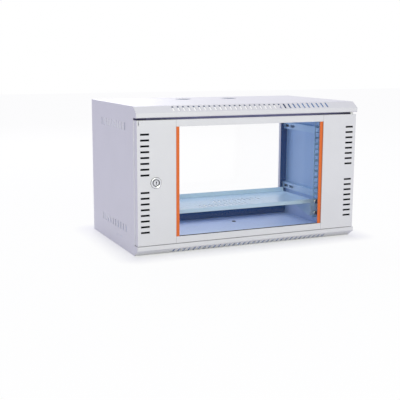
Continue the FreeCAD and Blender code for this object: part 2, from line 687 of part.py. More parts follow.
def glass_gasket(name, on_top):
    """Rubber of U section between the glass and the door's rail."""

    def level(depth):
        return door_top_z - depth if on_top else door_bottom_z + depth

    front = face_y + s["sheet"]
    height = s["door_rail_height"]
    glass_edge = height - s["glass_cover"]
    end = glass_edge - s["gasket_wall"]
    body = new_body(name)
    profile = new_sketch(body, "profile", "YZ_Plane", -window_half)
    add_polygon(profile, [(along, level(depth)) for along, depth in (
        (front, height), (front, end), (channel_back_y, end), (channel_back_y, height),
        (glass_back_y, height), (glass_back_y, glass_edge), (glass_y, glass_edge), (glass_y, height),
    )])
    pad(body, profile, window_half * 2)
    return body


def glass_pane():
    body = new_body("glass_pane")
    half_glass = window_half - s["glass_side_gap"]
    pane = new_sketch(body, "pane", "XZ_Plane", -glass_y)
    add_rectangle(
        pane, -half_glass, half_glass, window_bottom_z - s["glass_cover"], window_top_z + s["glass_cover"],
    )
    pad(body, pane, s["glass_thickness"], backwards=True)
    return body


def edge_strip(name, side):
    """A coloured strip of U section pushed on an upright edge of the glass."""
    body = new_body(name)
    front = face_y + s["sheet"]
    inner_x = window_half - s["strip_width"]
    glass_x = window_half - s["glass_side_gap"]
    profile = new_sketch(body, "profile", "XY_Plane", window_bottom_z)
    add_mirrored(profile, side, [
        (window_half, front), (window_half, channel_back_y), (inner_x, channel_back_y), (inner_x, glass_back_y),
        (glass_x, glass_back_y), (glass_x, glass_y), (inner_x, glass_y), (inner_x, front),
    ])
    pad(body, profile, window_top_z - window_bottom_z)
    return body


def hinge_bush(name, on_top):
    """A ring in the ledge of a cover, standing a little out of it towards the door."""
    body = new_body(name)
    outer_end = top_ledge_z - s["bush_stand"] if on_top else bottom_ledge_z + s["bush_stand"]
    ring = new_sketch(body, "ring", "XY_Plane", outer_end)
    add_circle(ring, hinge_x, hinge_y, bush_outside)
    add_circle(ring, hinge_x, hinge_y, s["pin_diameter"] + s["pin_clearance"] * 2)
    pad(body, ring, s["bush_stand"] + s["bush_length"], backwards=not on_top)
    return body


def hinge_pin(name, on_top):
    """A pin through the stile's end wall, with a head inside the door."""
    body = new_body(name)
    if on_top:
        tip, wall, head = top_ledge_z + s["bush_length"], door_top_z, door_top_z - s["sheet"]
        length = tip - wall + s["pin_socket"]
    else:
        tip, wall, head = bottom_ledge_z - s["bush_length"], door_bottom_z, door_bottom_z + s["sheet"]
        length = wall - tip + s["pin_socket"]
    shaft = new_sketch(body, "shaft", "XY_Plane", tip)
    add_circle(shaft, hinge_x, hinge_y, s["pin_diameter"])
    pad(body, shaft, length, backwards=on_top)
    inner_end = new_sketch(body, "head", "XY_Plane", head)
    add_hexagon(inner_end, hinge_x, hinge_y, s["pin_head"])
    pad(body, inner_end, s["pin_head_height"], backwards=on_top)
    return body


def lock_ring(body, name, start_y, outside, bore, length):
    ring = new_sketch(body, name, "XZ_Plane", -start_y)
    add_circle(ring, lock_x, lock_z, outside)
    add_circle(ring, lock_x, lock_z, bore)
    pad(body, ring, length, backwards=True)


def lock_housing():
    body = new_body("lock_housing")
    bore = s["lock_plug"] + s["lock_clearance"] * 2
    lock_ring(body, "rim", lock_front_y, s["lock_rim"], bore, s["lock_rim_height"])
    lock_ring(body, "barrel", face_y, s["lock_barrel"], bore, s["lock_barrel_length"])
    return body


def lock_nut():
    body = new_body("lock_nut")
    nut = new_sketch(body, "nut", "XZ_Plane", -(face_y + s["sheet"]))
    add_hexagon(nut, lock_x, lock_z, s["lock_nut_width"])
    add_circle(nut, lock_x, lock_z, s["lock_barrel"])
    pad(body, nut, s["lock_nut_height"], backwards=True)
    return body


def lock_plug():
    """The turning core, with its key slot in front and a square end for the cam."""
    body = new_body("lock_plug")
    core = new_sketch(body, "core", "XZ_Plane", -lock_front_y)
    add_circle(core, lock_x, lock_z, s["lock_plug"])
    pad(body, core, cam_y - lock_front_y, backwards=True)
    square = new_sketch(body, "square", "XZ_Plane", -cam_y)
    half_square = s["cam_square"] / 2
    add_rectangle(
        square, lock_x - half_square, lock_x + half_square,
        lock_z - half_square, lock_z + half_square,
    )
    pad(body, square, s["cam_thickness"], backwards=True)
    key_slot = new_sketch(body, "key_slot", "XZ_Plane", -lock_front_y)
    add_slot(key_slot, lock_x, lock_z, s["key_slot_length"], s["key_slot_width"], upright=True)
    pocket(body, key_slot, s["key_slot_depth"])
    return body


def lock_cam():
    body = new_body("lock_cam")
    cam = new_sketch(body, "cam", "XZ_Plane", -cam_y)
    middle_z = lock_z + (s["cam_length"] - s["cam_heel"]) / 2
    add_slot(cam, lock_x, middle_z, s["cam_length"] + s["cam_heel"], s["cam_width"], upright=True)
    half_square = s["cam_square"] / 2
    add_rectangle(
        cam, lock_x - half_square, lock_x + half_square,
        lock_z - half_square, lock_z + half_square,
    )
    pad(body, cam, s["cam_thickness"], backwards=True)
    return body


def cam_screw():
    body = new_body("cam_screw")
    head = new_sketch(body, "head", "XZ_Plane", -(cam_y + s["cam_thickness"]))
    add_circle(head, lock_x, lock_z, s["cam_screw_head"])
    pad(body, head, s["cam_screw_height"], backwards=True)
    return body


AXIS_TURNS = {
    "x": FreeCAD.Rotation(FreeCAD.Vector(0, 0, 1), FreeCAD.Vector(1, 0, 0)),
    "y": FreeCAD.Rotation(FreeCAD.Vector(0, 0, 1), FreeCAD.Vector(0, 1, 0)),
}


def set_place(item, axis, base):
    sizes = [as_size(size) for size in base]
    item.Placement = FreeCAD.Placement(FreeCAD.Vector(*[size.value for size in sizes]), AXIS_TURNS[axis])
    for letter, size in zip("xyz", sizes):
        item.setExpression(f"Placement.Base.{letter}", size.text)


def bar(name, axis, base, diameter, length):
    """A round bar whose lower end on the axis lies at the base."""
    item = doc.addObject("Part::Cylinder", name)
    item.setExpression("Radius", (diameter / 2).text)
    item.setExpression("Height", length.text)
    set_place(item, axis, base)
    return item


def hexagon_bar(name, axis, base, flats, length):
    item = doc.addObject("Part::Prism", name)
    item.Polygon = 6
    item.setExpression("Circumradius", (flats / math.sqrt(3)).text)
    item.setExpression("Height", length.text)
    set_place(item, axis, base)
    return item


def joined(name, *items):
    item = doc.addObject("Part::MultiFuse", name)
    item.Shapes = list(items)
    return item


def group(name, items):
    """Separate like pieces in one sub-part."""
    item = doc.addObject("Part::Compound", name)
    item.Links = list(items)
    item.Label = name
    return item


def from_middle(side, start, length):
    """The lower end of a length that starts at a distance from the middle, on either side."""
    return start if side > 0 else -(start + length)


def rail_bolts_and_nuts():
    """Bolts through the mounting rails' feet and the depth rails, ending at closed nuts."""
    bolts, nuts = [], []
    foot_x = rail_face_x - s["rail_sheet"]
    nut_x = rail_face_x + s["rail_sheet"]
    shank_length = s["rail_sheet"] * 2
    for side in (-1, 1):
        for height in depth_rail_levels:
            tag = f"{len(bolts)}"
            head_x = from_middle(side, foot_x - s["bolt_head_height"], s["bolt_head_height"])
            head_base = (head_x, rack_bolt_y, height)
            head = hexagon_bar(f"rail_bolt_head_{tag}", "x", head_base, s["nut_width"], s["bolt_head_height"])
            shank_x = from_middle(side, foot_x, shank_length)
            shank_base = (shank_x, rack_bolt_y, height)
            shank = bar(f"rail_bolt_shank_{tag}", "x", shank_base, s["bolt_diameter"], shank_length)
            bolts.append(joined(f"rail_bolt_{tag}", head, shank))
            base = (from_middle(side, nut_x, s["nut_height"]), rack_bolt_y, height)
            nuts.append(hexagon_bar(f"rail_nut_{tag}", "x", base, s["nut_width"], s["nut_height"]))
    return group("rail_bolts", bolts), group("rail_nuts", nuts)


def shelf_screws_and_nuts():
    """Screws through the shelf's ears, ending at closed square nuts behind the mounting rails."""
    screws, nuts = [], []
    shank_length = s["rail_sheet"] * 2
    half_nut = cage_nut_width / 2
    for tag, (across, up) in enumerate(shelf_screw_places()):
        head_base = (across, ear_y - s["bolt_head_height"], up)
        head = bar(f"shelf_screw_head_{tag}", "y", head_base, s["bolt_head"], s["bolt_head_height"])
        shank = bar(f"shelf_screw_shank_{tag}", "y", (across, ear_y, up), s["bolt_diameter"], shank_length)
        screws.append(joined(f"shelf_screw_{tag}", head, shank))
        nut = doc.addObject("Part::Box", f"cage_nut_{tag}")
        for side_name in ("Length", "Height"):
            nut.setExpression(side_name, cage_nut_width.text)
        nut.setExpression("Width", s["nut_height"].text)
        for letter, size in zip("xyz", (across - half_nut, rack_back_y, up - half_nut)):
            nut.setExpression(f"Placement.Base.{letter}", size.text)
        nuts.append(nut)
    return group("shelf_screws", screws), group("cage_nuts", nuts)


# Places and sizes shared by the hinge, the lock and the fasteners
bush_outside = s["pin_diameter"] + s["pin_clearance"] * 2 + s["bush_wall"] * 2
lock_front_y = face_y - s["lock_rim_height"]
cam_y = post_back_y + s["cam_gap"]
cage_nut_width = s["rack_hole"] + s["rail_sheet"] * 2

sub_parts = [
    folded_cover("top_cover", on_top=True),
    folded_cover("bottom_cover", on_top=False),
    side_panel("left_side_panel", -1),
    side_panel("right_side_panel", 1),
    rear_frame(),
    front_post("left_front_post", -1),
    front_post("right_front_post", 1),
    depth_rail("lower_left_depth_rail", -1, depth_rail_levels[0]),
    depth_rail("lower_right_depth_rail", 1, depth_rail_levels[0]),
    depth_rail("upper_left_depth_rail", -1, depth_rail_levels[1]),
    depth_rail("upper_right_depth_rail", 1, depth_rail_levels[1]),
    mounting_rail("left_mounting_rail", -1),
    mounting_rail("right_mounting_rail", 1),
    shelf(),
    left_stile(),
    right_stile(),
    door_rail("door_top_rail", on_top=True),
    door_rail("door_bottom_rail", on_top=False),
    glass_gasket("top_gasket", on_top=True),
    glass_gasket("bottom_gasket", on_top=False),
    glass_pane(),
    edge_strip("left_edge_strip", -1),
    edge_strip("right_edge_strip", 1),
    hinge_bush("top_hinge_bush", on_top=True),
    hinge_bush("bottom_hinge_bush", on_top=False),
    hinge_pin("top_hinge_pin", on_top=True),
    hinge_pin("bottom_hinge_pin", on_top=False),
    lock_housing(),
    lock_nut(),
    lock_plug(),
    lock_cam(),
    cam_screw(),
    *rail_bolts_and_nuts(),
    *shelf_screws_and_nuts(),
]


def check_model():
    """Stop before anything is written if an object failed or a cut took nothing away."""
    for item in doc.Objects:
        if "Invalid" in item.State or "Error" in item.State:
            raise RuntimeError(f"{item.Label} failed: {item.State}")
        if item.TypeId == "PartDesign::Pocket" and item.Shape.Volume >= item.BaseFeature.Shape.Volume:
            raise RuntimeError(f"{item.Label} cut nothing")
    for item in sub_parts:
        if item.Shape.isNull() or not item.Shape.isValid():
            raise RuntimeError(f"{item.Label} has no valid shape")


doc.recompute()
check_model()
os.makedirs("parts", exist_ok=True)
for item in sub_parts:
    item.Shape.exportStep(f"parts/{item.Label}.step")
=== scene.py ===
"""Looks of a six-unit wall cabinet for 19-inch equipment, with a framed glass door and a key lock.

Lengths are metres, in the CAD model's frame: X across the front, Y from front to back, Z up.
"""

import math

import bmesh
import bpy
from bpy.props import FloatProperty, FloatVectorProperty, IntProperty, PointerProperty
from mathutils import Matrix, Vector


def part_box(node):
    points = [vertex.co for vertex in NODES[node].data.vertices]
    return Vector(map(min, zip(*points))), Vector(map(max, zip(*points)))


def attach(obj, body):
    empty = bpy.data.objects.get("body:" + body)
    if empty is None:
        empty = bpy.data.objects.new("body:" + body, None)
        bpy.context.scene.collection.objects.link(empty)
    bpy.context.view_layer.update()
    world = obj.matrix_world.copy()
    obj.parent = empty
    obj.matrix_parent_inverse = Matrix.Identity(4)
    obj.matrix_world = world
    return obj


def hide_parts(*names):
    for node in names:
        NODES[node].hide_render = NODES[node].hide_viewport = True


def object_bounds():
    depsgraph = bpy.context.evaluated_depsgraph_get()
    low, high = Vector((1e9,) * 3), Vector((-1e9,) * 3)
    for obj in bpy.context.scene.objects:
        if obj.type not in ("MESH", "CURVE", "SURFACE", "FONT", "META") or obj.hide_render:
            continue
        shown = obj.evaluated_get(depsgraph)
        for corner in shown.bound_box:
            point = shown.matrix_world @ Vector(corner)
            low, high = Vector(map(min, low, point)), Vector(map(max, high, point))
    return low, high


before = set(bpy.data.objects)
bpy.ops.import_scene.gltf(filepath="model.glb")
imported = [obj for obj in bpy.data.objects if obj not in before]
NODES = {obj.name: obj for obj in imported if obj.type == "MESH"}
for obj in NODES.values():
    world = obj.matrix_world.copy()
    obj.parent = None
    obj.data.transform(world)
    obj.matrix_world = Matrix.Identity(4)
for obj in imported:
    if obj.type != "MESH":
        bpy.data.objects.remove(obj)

bl_info = {
    "name": "Wall rack cabinet",
    "version": (1, 0, 0),
    "blender": (4, 5, 0),
    "location": "View3D > Sidebar > Cabinet",
    "description": "Finishes and small fittings of a six-unit wall cabinet with a glass door",
    "category": "Object",
}

CAD_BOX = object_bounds()
MM = 0.001

# Sizes from the CAD model that its nodes' boxes don't give
BODY_SHEET = 1.2 * MM
RAIL_SHEET = 1.5 * MM
PANEL_BACKSET = 2 * MM
FLOOR_HOLE_SIDE = 92 * MM
FLOOR_HOLE_INSET = 68 * MM
DOOR_SLOT_INSET = 19 * MM
SLOT_GROUP_OFFSET = 67.75 * MM
LOCK_BARREL_RADIUS = 9.5 * MM
LOCK_CLEARANCE = 0.2 * MM
CAM_SQUARE = 7 * MM
BOLT_RADIUS = 3 * MM
BOLT_HEAD_RADIUS = 6 * MM
BOLT_HEAD_HEIGHT = 3.4 * MM

# Threads begin just below the head's seat
THREAD_START = -0.1 * MM

SIDE_PANELS = ("left_side_panel", "right_side_panel")
FRONT_POSTS = ("left_front_post", "right_front_post")
MOUNTING_RAILS = ("left_mounting_rail", "right_mounting_rail")
DEPTH_RAILS = (
    "lower_left_depth_rail", "lower_right_depth_rail", "upper_left_depth_rail", "upper_right_depth_rail",
)
DOOR_SHEETS = ("door_left_stile", "door_right_stile", "door_top_rail", "door_bottom_rail")


def linear_rgb(hex_code):
    """An sRGB hex value as linear red, green and blue."""
    levels = (int(hex_code[place:place + 2], 16) / 255 for place in (0, 2, 4))
    return tuple(level / 12.92 if level <= 0.04045 else ((level + 0.055) / 1.055) ** 2.4 for level in levels)


def add_node(tree, kind, settings=None, links=None):
    """Add a node.

    Settings go to its sockets by name or number, or to its own attributes. Links give its inputs.
    """
    node = tree.nodes.new(kind)
    for key, value in (settings or {}).items():
        if isinstance(key, int) or key in node.inputs:
            node.inputs[key].default_value = value
        else:
            setattr(node, key, value)
    for key, source in (links or {}).items():
        tree.links.new(source, node.inputs[key])
    return node


# Settings that a user would change


class CabinetPaintSettings(bpy.types.PropertyGroup):
    outer_colour: FloatVectorProperty(
        name="Outer colour", description="Powder coat outside and on the door", subtype="COLOR",
        size=3, min=0, max=1, default=linear_rgb("dcdce0"),
    )
    # Painted shade: the colours of the inside stand for the bluish shade there, not for a paint of their own.
    wall_shade_colour: FloatVectorProperty(
        name="Wall colour", description="Powder coat on the inner walls", subtype="COLOR",
        size=3, min=0, max=1, default=linear_rgb("bcdcfa"),
    )
    floor_shade_colour: FloatVectorProperty(
        name="Floor colour", description="Powder coat inside the bottom cover", subtype="COLOR",
        size=3, min=0, max=1, default=linear_rgb("c0d2ee"),
    )
    # Painted shade: the rear frame's faces towards the door get dark blue because little light reaches them.
    frame_shade_colour: FloatVectorProperty(
        name="Frame colour", description="Powder coat on the front of the rear frame", subtype="COLOR",
        size=3, min=0, max=1, default=linear_rgb("2a568c"),
    )
    # Painted shade: the front posts get a darker colour for the shade behind the door's gaps and slots.
    post_shade_colour: FloatVectorProperty(
        name="Post colour", description="Primer on the front posts", subtype="COLOR",
        size=3, min=0, max=1, default=linear_rgb("7c7a9a"),
    )
    # Painted shade: the covers' closing lips get a darker colour for the shade in the door's gaps.
    lip_shade_colour: FloatVectorProperty(
        name="Lip colour", description="Primer on the covers' closing lips", subtype="COLOR",
        size=3, min=0, max=1, default=linear_rgb("a4a2c6"),
    )
    # Painted bluish shade, like the inner walls: the rails and the shelf stand inside the cabinet.
    upright_shade_colour: FloatVectorProperty(
        name="Mounting rail colour", description="Powder coat of the mounting rails", subtype="COLOR",
        size=3, min=0, max=1, default=linear_rgb("b4daf8"),
    )
    rail_shade_colour: FloatVectorProperty(
        name="Depth rail colour", description="Powder coat of the depth rails", subtype="COLOR",
        size=3, min=0, max=1, default=linear_rgb("c4e4fc"),
    )
    shelf_shade_colour: FloatVectorProperty(
        name="Shelf colour", description="Powder coat of the shelf", subtype="COLOR",
        size=3, min=0, max=1, default=linear_rgb("c0d8ee"),
    )
    peel: FloatProperty(
        name="Orange peel", description="Spacing of the coat's soft dimples", unit="LENGTH",
        subtype="DISTANCE", default=1.8 * MM, min=0.5 * MM, max=6 * MM,
    )


class CabinetTrimSettings(bpy.types.PropertyGroup):
    strip_colour: FloatVectorProperty(
        name="Strip colour", description="Edge strips of the glass", subtype="COLOR",
        size=3, min=0, max=1, default=linear_rgb("e06a1c"),
    )
    crown: FloatProperty(
        name="Strip crown", description="How far the middle of a strip stands out over its edges",
        unit="LENGTH", subtype="DISTANCE", default=0.9 * MM, min=0, max=1.1 * MM,
    )
    glass_tint: FloatVectorProperty(
        name="Glass tint", description="Colour of the glass", subtype="COLOR",
        size=3, min=0, max=1, default=linear_rgb("f3faf8"),
    )


class CabinetFittingSettings(bpy.types.PropertyGroup):
    screw_head: FloatProperty(
        name="Screw head", description="Diameter of the shelf screws' heads", unit="LENGTH",
        subtype="DISTANCE", default=12 * MM, min=8 * MM, max=14 * MM,
    )
    thread_pitch: FloatProperty(
        name="Thread pitch", description="Pitch of the screws and bolts", unit="LENGTH",
        subtype="DISTANCE", default=1 * MM, min=0.5 * MM, max=2 * MM,
    )
    segments: IntProperty(
        name="Segments", description="Sides of a turned piece", default=64, min=24, max=128,
    )


class CabinetStageSettings(bpy.types.PropertyGroup):
    camera_place: FloatVectorProperty(
        name="Camera place", description="Where the camera stands", unit="LENGTH",
        subtype="TRANSLATION", size=3, default=(-0.899, -1.8856, 0.4653),
    )
    camera_turn: FloatVectorProperty(
        name="Camera turn", description="Turn to the right, tilt down and roll", unit="ROTATION",
        subtype="EULER", size=3, default=(math.radians(23.931), math.radians(10.25), math.radians(0.192)),
    )
    lens: FloatProperty(
        name="Lens", description="Focal length in millimetres", default=71.52, min=20, max=200,
    )
    key_power: FloatProperty(
        name="Key light", description="Power of the soft light in front", unit="POWER",
        default=61, min=0, max=500,
    )
    back_power: FloatProperty(
        name="Back light", description="Power of the soft light above and behind", unit="POWER",
        default=34, min=0, max=500,
    )
    ambient: FloatVectorProperty(
        name="Ambient light", description="Light from all round", subtype="COLOR",
        size=3, min=0, max=1, default=(0.475, 0.455, 0.64),
    )


# Materials


def new_material(name):
    material = bpy.data.materials.new(name)
    material.use_nodes = True
    tree = material.node_tree
    tree.nodes.clear()
    shader = add_node(tree, "ShaderNodeBsdfPrincipled")
    add_node(tree, "ShaderNodeOutputMaterial", links={"Surface": shader.outputs["BSDF"]})
    place = add_node(tree, "ShaderNodeTexCoord").outputs["Object"]
    return material, tree, shader, place


def product(tree, first, second):
    return add_node(tree, "ShaderNodeMath", {"operation": "MULTIPLY"}, {0: first, 1: second}).outputs[0]


def noise(tree, place, size, detail=2):
    """A cloudy pattern from nought to one, with patches of about the given size."""
    texture = add_node(tree, "ShaderNodeTexNoise", {"Scale": 1 / size, "Detail": detail}, {"Vector": place})
    return texture.outputs["Fac"]


def mixed_colour(tree, shader, first, second, pattern):
    """Let a pattern mix two colours."""
    mix = add_node(
        tree, "ShaderNodeMix", {"data_type": "RGBA", 6: (*first, 1), 7: (*second, 1)}, {0: pattern},
    )
    tree.links.new(mix.outputs[2], shader.inputs["Base Color"])


def varied_roughness(tree, shader, least, most, pattern):
    """Let a pattern move the roughness between two values."""
    rough = add_node(tree, "ShaderNodeMapRange", {"To Min": least, "To Max": most}, {"Value": pattern})
    tree.links.new(rough.outputs[0], shader.inputs["Roughness"])


def raised_pattern(tree, shader, strength, depth, pattern):
    """Let a pattern raise the surface."""
    bump = add_node(tree, "ShaderNodeBump", {"Strength": strength, "Distance": depth}, {"Height": pattern})
    tree.links.new(bump.outputs[0], shader.inputs["Normal"])


def inside_mask(tree, place, front_faces_only=False):
    """One on surfaces inside the cabinet's shell, where the coat's colour is painted shade, nought outside
    it.
    """
    axes = add_node(tree, "ShaderNodeSeparateXYZ", links={"Vector": place})
    across = add_node(tree, "ShaderNodeMath", {"operation": "ABSOLUTE"}, {0: axes.outputs["X"]}).outputs[0]
    low, high = CAD_BOX
    # Outer faces lie on the shell's box, and inner ones a sheet's thickness within it.
    skin, margin = 1.15 * MM, 0.5 * MM
    posts_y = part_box("left_front_post")[0].y + margin
    tests = (
        (across, "LESS_THAN", high.x - skin), (axes.outputs["Y"], "GREATER_THAN", posts_y),
        (axes.outputs["Y"], "LESS_THAN", high.y - skin), (axes.outputs["Z"], "GREATER_THAN", low.z + skin),
        (axes.outputs["Z"], "LESS_THAN", high.z - skin),
    )
    mask = None
    for value, operation, limit in tests:
        test = add_node(tree, "ShaderNodeMath", {"operation": operation, 1: limit}, {0: value}).outputs[0]
        mask = test if mask is None else product(tree, mask, test)
    # Only faces turned towards the door get the inner colour, which is painted shade there.
    if front_faces_only:
        normal = add_node(
            tree, "ShaderNodeSeparateXYZ",
            links={"Vector": add_node(tree, "ShaderNodeTexCoord").outputs["Normal"]},
        )
        front = add_node(
            tree, "ShaderNodeMath", {"operation": "LESS_THAN", 1: -0.5}, {0: normal.outputs["Y"]},
        )
        mask = product(tree, mask, front.outputs[0])
    return mask


def seam_tone(tree, place, seam_x, darkest):
    """Dark on the hairline seams at the given distance from the middle, one elsewhere."""
    axes = add_node(tree, "ShaderNodeSeparateXYZ", links={"Vector": place})
    across = add_node(tree, "ShaderNodeMath", {"operation": "ABSOLUTE"}, {0: axes.outputs["X"]}).outputs[0]
    off = add_node(tree, "ShaderNodeMath", {"operation": "SUBTRACT", 1: seam_x}, {0: across}).outputs[0]
    away = add_node(tree, "ShaderNodeMath", {"operation": "ABSOLUTE"}, {0: off}).outputs[0]
    dark_reach, faded_reach = 0.2 * MM, 0.5 * MM
    tone = add_node(
        tree, "ShaderNodeMapRange",
        {"From Min": dark_reach, "From Max": faded_reach, "To Min": darkest, "To Max": 1.0}, {"Value": away},
    )
    return tone.outputs[0]


def powder_coat(
    name, outer, inner=None, front_faces_only=False, satin_range=(0.40, 0.50), seam_x=None, lip=None,
    gloss=0.45,
):
    """Polyester powder coat baked on steel sheet: satin, with the soft dimples called orange peel."""
    paint = bpy.context.scene.cabinet_paint
    material, tree, shader, place = new_material(name)
    shader.inputs["IOR"].default_value = 1.5
    shader.inputs["Specular IOR Level"].default_value = gloss

    # The coat is a little thicker in places, which shifts its tone by about one part in forty.
    cloud = noise(tree, place, 70 * MM, 3)
    tone = add_node(
        tree, "ShaderNodeMapRange", {"From Min": 0.3, "From Max": 0.7, "To Min": 0.975, "To Max": 1.0},
        {"Value": cloud},
    )
    # Inside the shell the inner colour, a painted bluish shade, takes the place of the outer colour.
    if inner is None:
        coat = add_node(tree, "ShaderNodeRGB")
        coat.outputs[0].default_value = (*outer, 1)
        coat_colour = coat.outputs[0]
    else:
        coat = add_node(
            tree, "ShaderNodeMix", {"data_type": "RGBA", 6: (*outer, 1), 7: (*inner, 1)},
            {0: inside_mask(tree, place, front_faces_only)},
        )
        coat_colour = coat.outputs[2]
    if lip is not None:
        # The closing lips behind the door's gaps stand in the plane of the posts, and get a darker colour
        # there as painted shade of the gaps.
        along = add_node(tree, "ShaderNodeSeparateXYZ", links={"Vector": place}).outputs["Y"]
        lip_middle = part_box("left_front_post")[0].y + BODY_SHEET / 2
        reach = BODY_SHEET / 2 + 0.1 * MM
        on_lip = add_node(
            tree, "ShaderNodeMath", {"operation": "COMPARE", 1: lip_middle, 2: reach}, {0: along},
        )
        lip_shade = add_node(
            tree, "ShaderNodeMix", {"data_type": "RGBA", 7: (*lip, 1)},
            {0: on_lip.outputs[0], 6: coat_colour},
        )
        coat_colour = lip_shade.outputs[2]
    tone_value = tone.outputs[0]
    if seam_x is not None:
        tone_value = product(tree, tone_value, seam_tone(tree, place, seam_x, darkest=0.55))
    shaded = add_node(
        tree, "ShaderNodeVectorMath", {"operation": "SCALE"}, {0: coat_colour, "Scale": tone_value},
    )
    tree.links.new(shaded.outputs[0], shader.inputs["Base Color"])

    # Fine grain of the coat, drawn at 0.6 mm so that it still shows.
    grain = noise(tree, place, 0.6 * MM)
    satin = add_node(
        tree, "ShaderNodeMapRange",
        {"From Min": 0.3, "From Max": 0.7, "To Min": satin_range[0], "To Max": satin_range[1]},
        {"Value": grain},
    )
    tree.links.new(satin.outputs[0], shader.inputs["Roughness"])

    # Folded and cut edges are rounded by the sheet's bend and by the coat's own thickness.
    edge = add_node(tree, "ShaderNodeBevel", {"samples": 4, "Radius": 0.7 * MM})
    relief = add_node(
        tree, "ShaderNodeBump", {"Strength": 0.25, "Distance": 0.05 * MM},
        {"Height": noise(tree, place, paint.peel, 1), "Normal": edge.outputs[0]},
    )
    tree.links.new(relief.outputs[0], shader.inputs["Normal"])
    return material


def extruded_abs(name, colour):
    """Extruded ABS: satin, with faint draw lines along its length from the die."""
    material, tree, shader, place = new_material(name)
    shader.inputs["IOR"].default_value = 1.53
    stretched = add_node(tree, "ShaderNodeMapping", {"Scale": (1, 1, 0.01)}, {"Vector": place})
    # Draw lines about 0.5 mm apart.
    lines = noise(tree, stretched.outputs[0], 0.5 * MM)
    mixed_colour(tree, shader, tuple(level * 0.92 for level in colour), colour, lines)
    varied_roughness(tree, shader, 0.30, 0.42, lines)
    raised_pattern(tree, shader, 0.15, 0.03 * MM, lines)
    return material


def epdm_rubber(name):
    """Extruded EPDM rubber: black, matt, with a greyish bloom in patches."""
    material, tree, shader, place = new_material(name)
    shader.inputs["IOR"].default_value = 1.48
    bloom = noise(tree, place, 12 * MM, 4)
    mixed_colour(tree, shader, linear_rgb("17181a"), linear_rgb("2b2c2f"), bloom)
    varied_roughness(tree, shader, 0.65, 0.85, bloom)
    raised_pattern(tree, shader, 0.2, 0.03 * MM, noise(tree, place, 0.4 * MM))
    return material


def open_cell_foam(name):
    """Open-cell polyether foam: black, without gloss, with pores about 1.2 mm wide."""
    material, tree, shader, place = new_material(name)
    shader.inputs["IOR"].default_value = 1.48
    shader.inputs["Specular IOR Level"].default_value = 0.05
    cells = add_node(tree, "ShaderNodeTexVoronoi", {"Scale": 1 / (1.2 * MM)}, {"Vector": place})
    pores = cells.outputs["Distance"]
    mixed_colour(tree, shader, linear_rgb("050507"), linear_rgb("1c1d22"), pores)
    varied_roughness(tree, shader, 0.9, 1.0, pores)
    raised_pattern(tree, shader, 0.6, 0.2 * MM, pores)
    return material


def polished_chrome(name):
    """Chrome plate on a zinc casting: mirror bright, with soft waves left by polishing."""
    material, tree, shader, place = new_material(name)
    shader.inputs["Metallic"].default_value = 1
    waves = noise(tree, place, 3 * MM)
    mixed_colour(tree, shader, linear_rgb("d3d5dc"), linear_rgb("e9eaee"), waves)
    varied_roughness(tree, shader, 0.08, 0.20, waves)
    raised_pattern(tree, shader, 0.15, 0.05 * MM, waves)
    return material


def zinc_plated_steel(name):
    """Steel with bright zinc plate: bluish silver, a trace of straw colour, softly brushed by tumbling."""
    material, tree, shader, place = new_material(name)
    shader.inputs["Metallic"].default_value = 1
    mixed_colour(tree, shader, linear_rgb("c6cbd6"), linear_rgb("d6d2c2"), noise(tree, place, 5 * MM, 3))
    # Tumbling marks, about 0.3 mm.
    marks = noise(tree, place, 0.3 * MM)
    varied_roughness(tree, shader, 0.24, 0.40, marks)
    raised_pattern(tree, shader, 0.1, 0.02 * MM, marks)
    return material


def natural_nylon(name):
    """Moulded nylon: milky, slightly waxy, with light passing a little way into it."""
    material, tree, shader, place = new_material(name)
    shader.inputs["IOR"].default_value = 1.53
    shader.inputs["Subsurface Weight"].default_value = 0.2
    shader.inputs["Subsurface Radius"].default_value = (1.5 * MM, 1.4 * MM, 1.2 * MM)
    cloud = noise(tree, place, 4 * MM)
    mixed_colour(tree, shader, linear_rgb("e6e4dc"), linear_rgb("d8d5c9"), cloud)
    varied_roughness(tree, shader, 0.40, 0.55, cloud)
    return material


def toughened_glass(name):
    """Clear toughened float glass: nearly colourless, its faces slightly wavy from the furnace's rollers."""
    trim = bpy.context.scene.cabinet_trim
    material, tree, shader, place = new_material(name)
    shader.inputs["Base Color"].default_value = (*trim.glass_tint, 1)
    shader.inputs["IOR"].default_value = 1.52
    shader.inputs["Roughness"].default_value = 0.02
    shader.inputs["Transmission Weight"].default_value = 1
    shader.inputs["Alpha"].default_value = 0.02
    # Roller waves, about 40 mm from crest to crest.
    raised_pattern(tree, shader, 0.05, 0.1 * MM, noise(tree, place, 40 * MM, 0))
    return material


def dress(names, material):
    """Give CAD nodes a material."""
    for name in names:
        slots = NODES[name].data.materials
        slots.clear()
        slots.append(material)


# Meshes


def add_piece(name, mesh_builder, material, body, replaced=()):
    """Make an object of a bmesh, smooth its gentle edges, and let it ride on a body of the frame."""
    mesh = bpy.data.meshes.new(name)
    bmesh.ops.recalc_face_normals(mesh_builder, faces=mesh_builder.faces)
    mesh_builder.to_mesh(mesh)
    mesh_builder.free()
    mesh.shade_smooth()
    mesh.set_sharp_from_angle(angle=math.radians(32))
    mesh.materials.append(material)
    piece = bpy.data.objects.new(name, mesh)
    bpy.context.scene.collection.objects.link(piece)
    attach(piece, body)
    if replaced:
        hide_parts(*replaced)


def turned(profile, segments):
    """A solid turned about Z, from pairs of radius and height that start and end on the axis."""
    builder = bmesh.new()
    line = [builder.verts.new((radius, 0, height)) for radius, height in profile]
    edges = [builder.edges.new(pair) for pair in zip(line, line[1:])]
    bmesh.ops.spin(
        builder, geom=line + edges, cent=(0, 0, 0), axis=(0, 0, 1), angle=math.tau, steps=segments,
        use_merge=True,
    )
    bmesh.ops.remove_doubles(builder, verts=builder.verts, dist=1e-7)
    bmesh.ops.recalc_face_normals(builder, faces=builder.faces)
    return builder


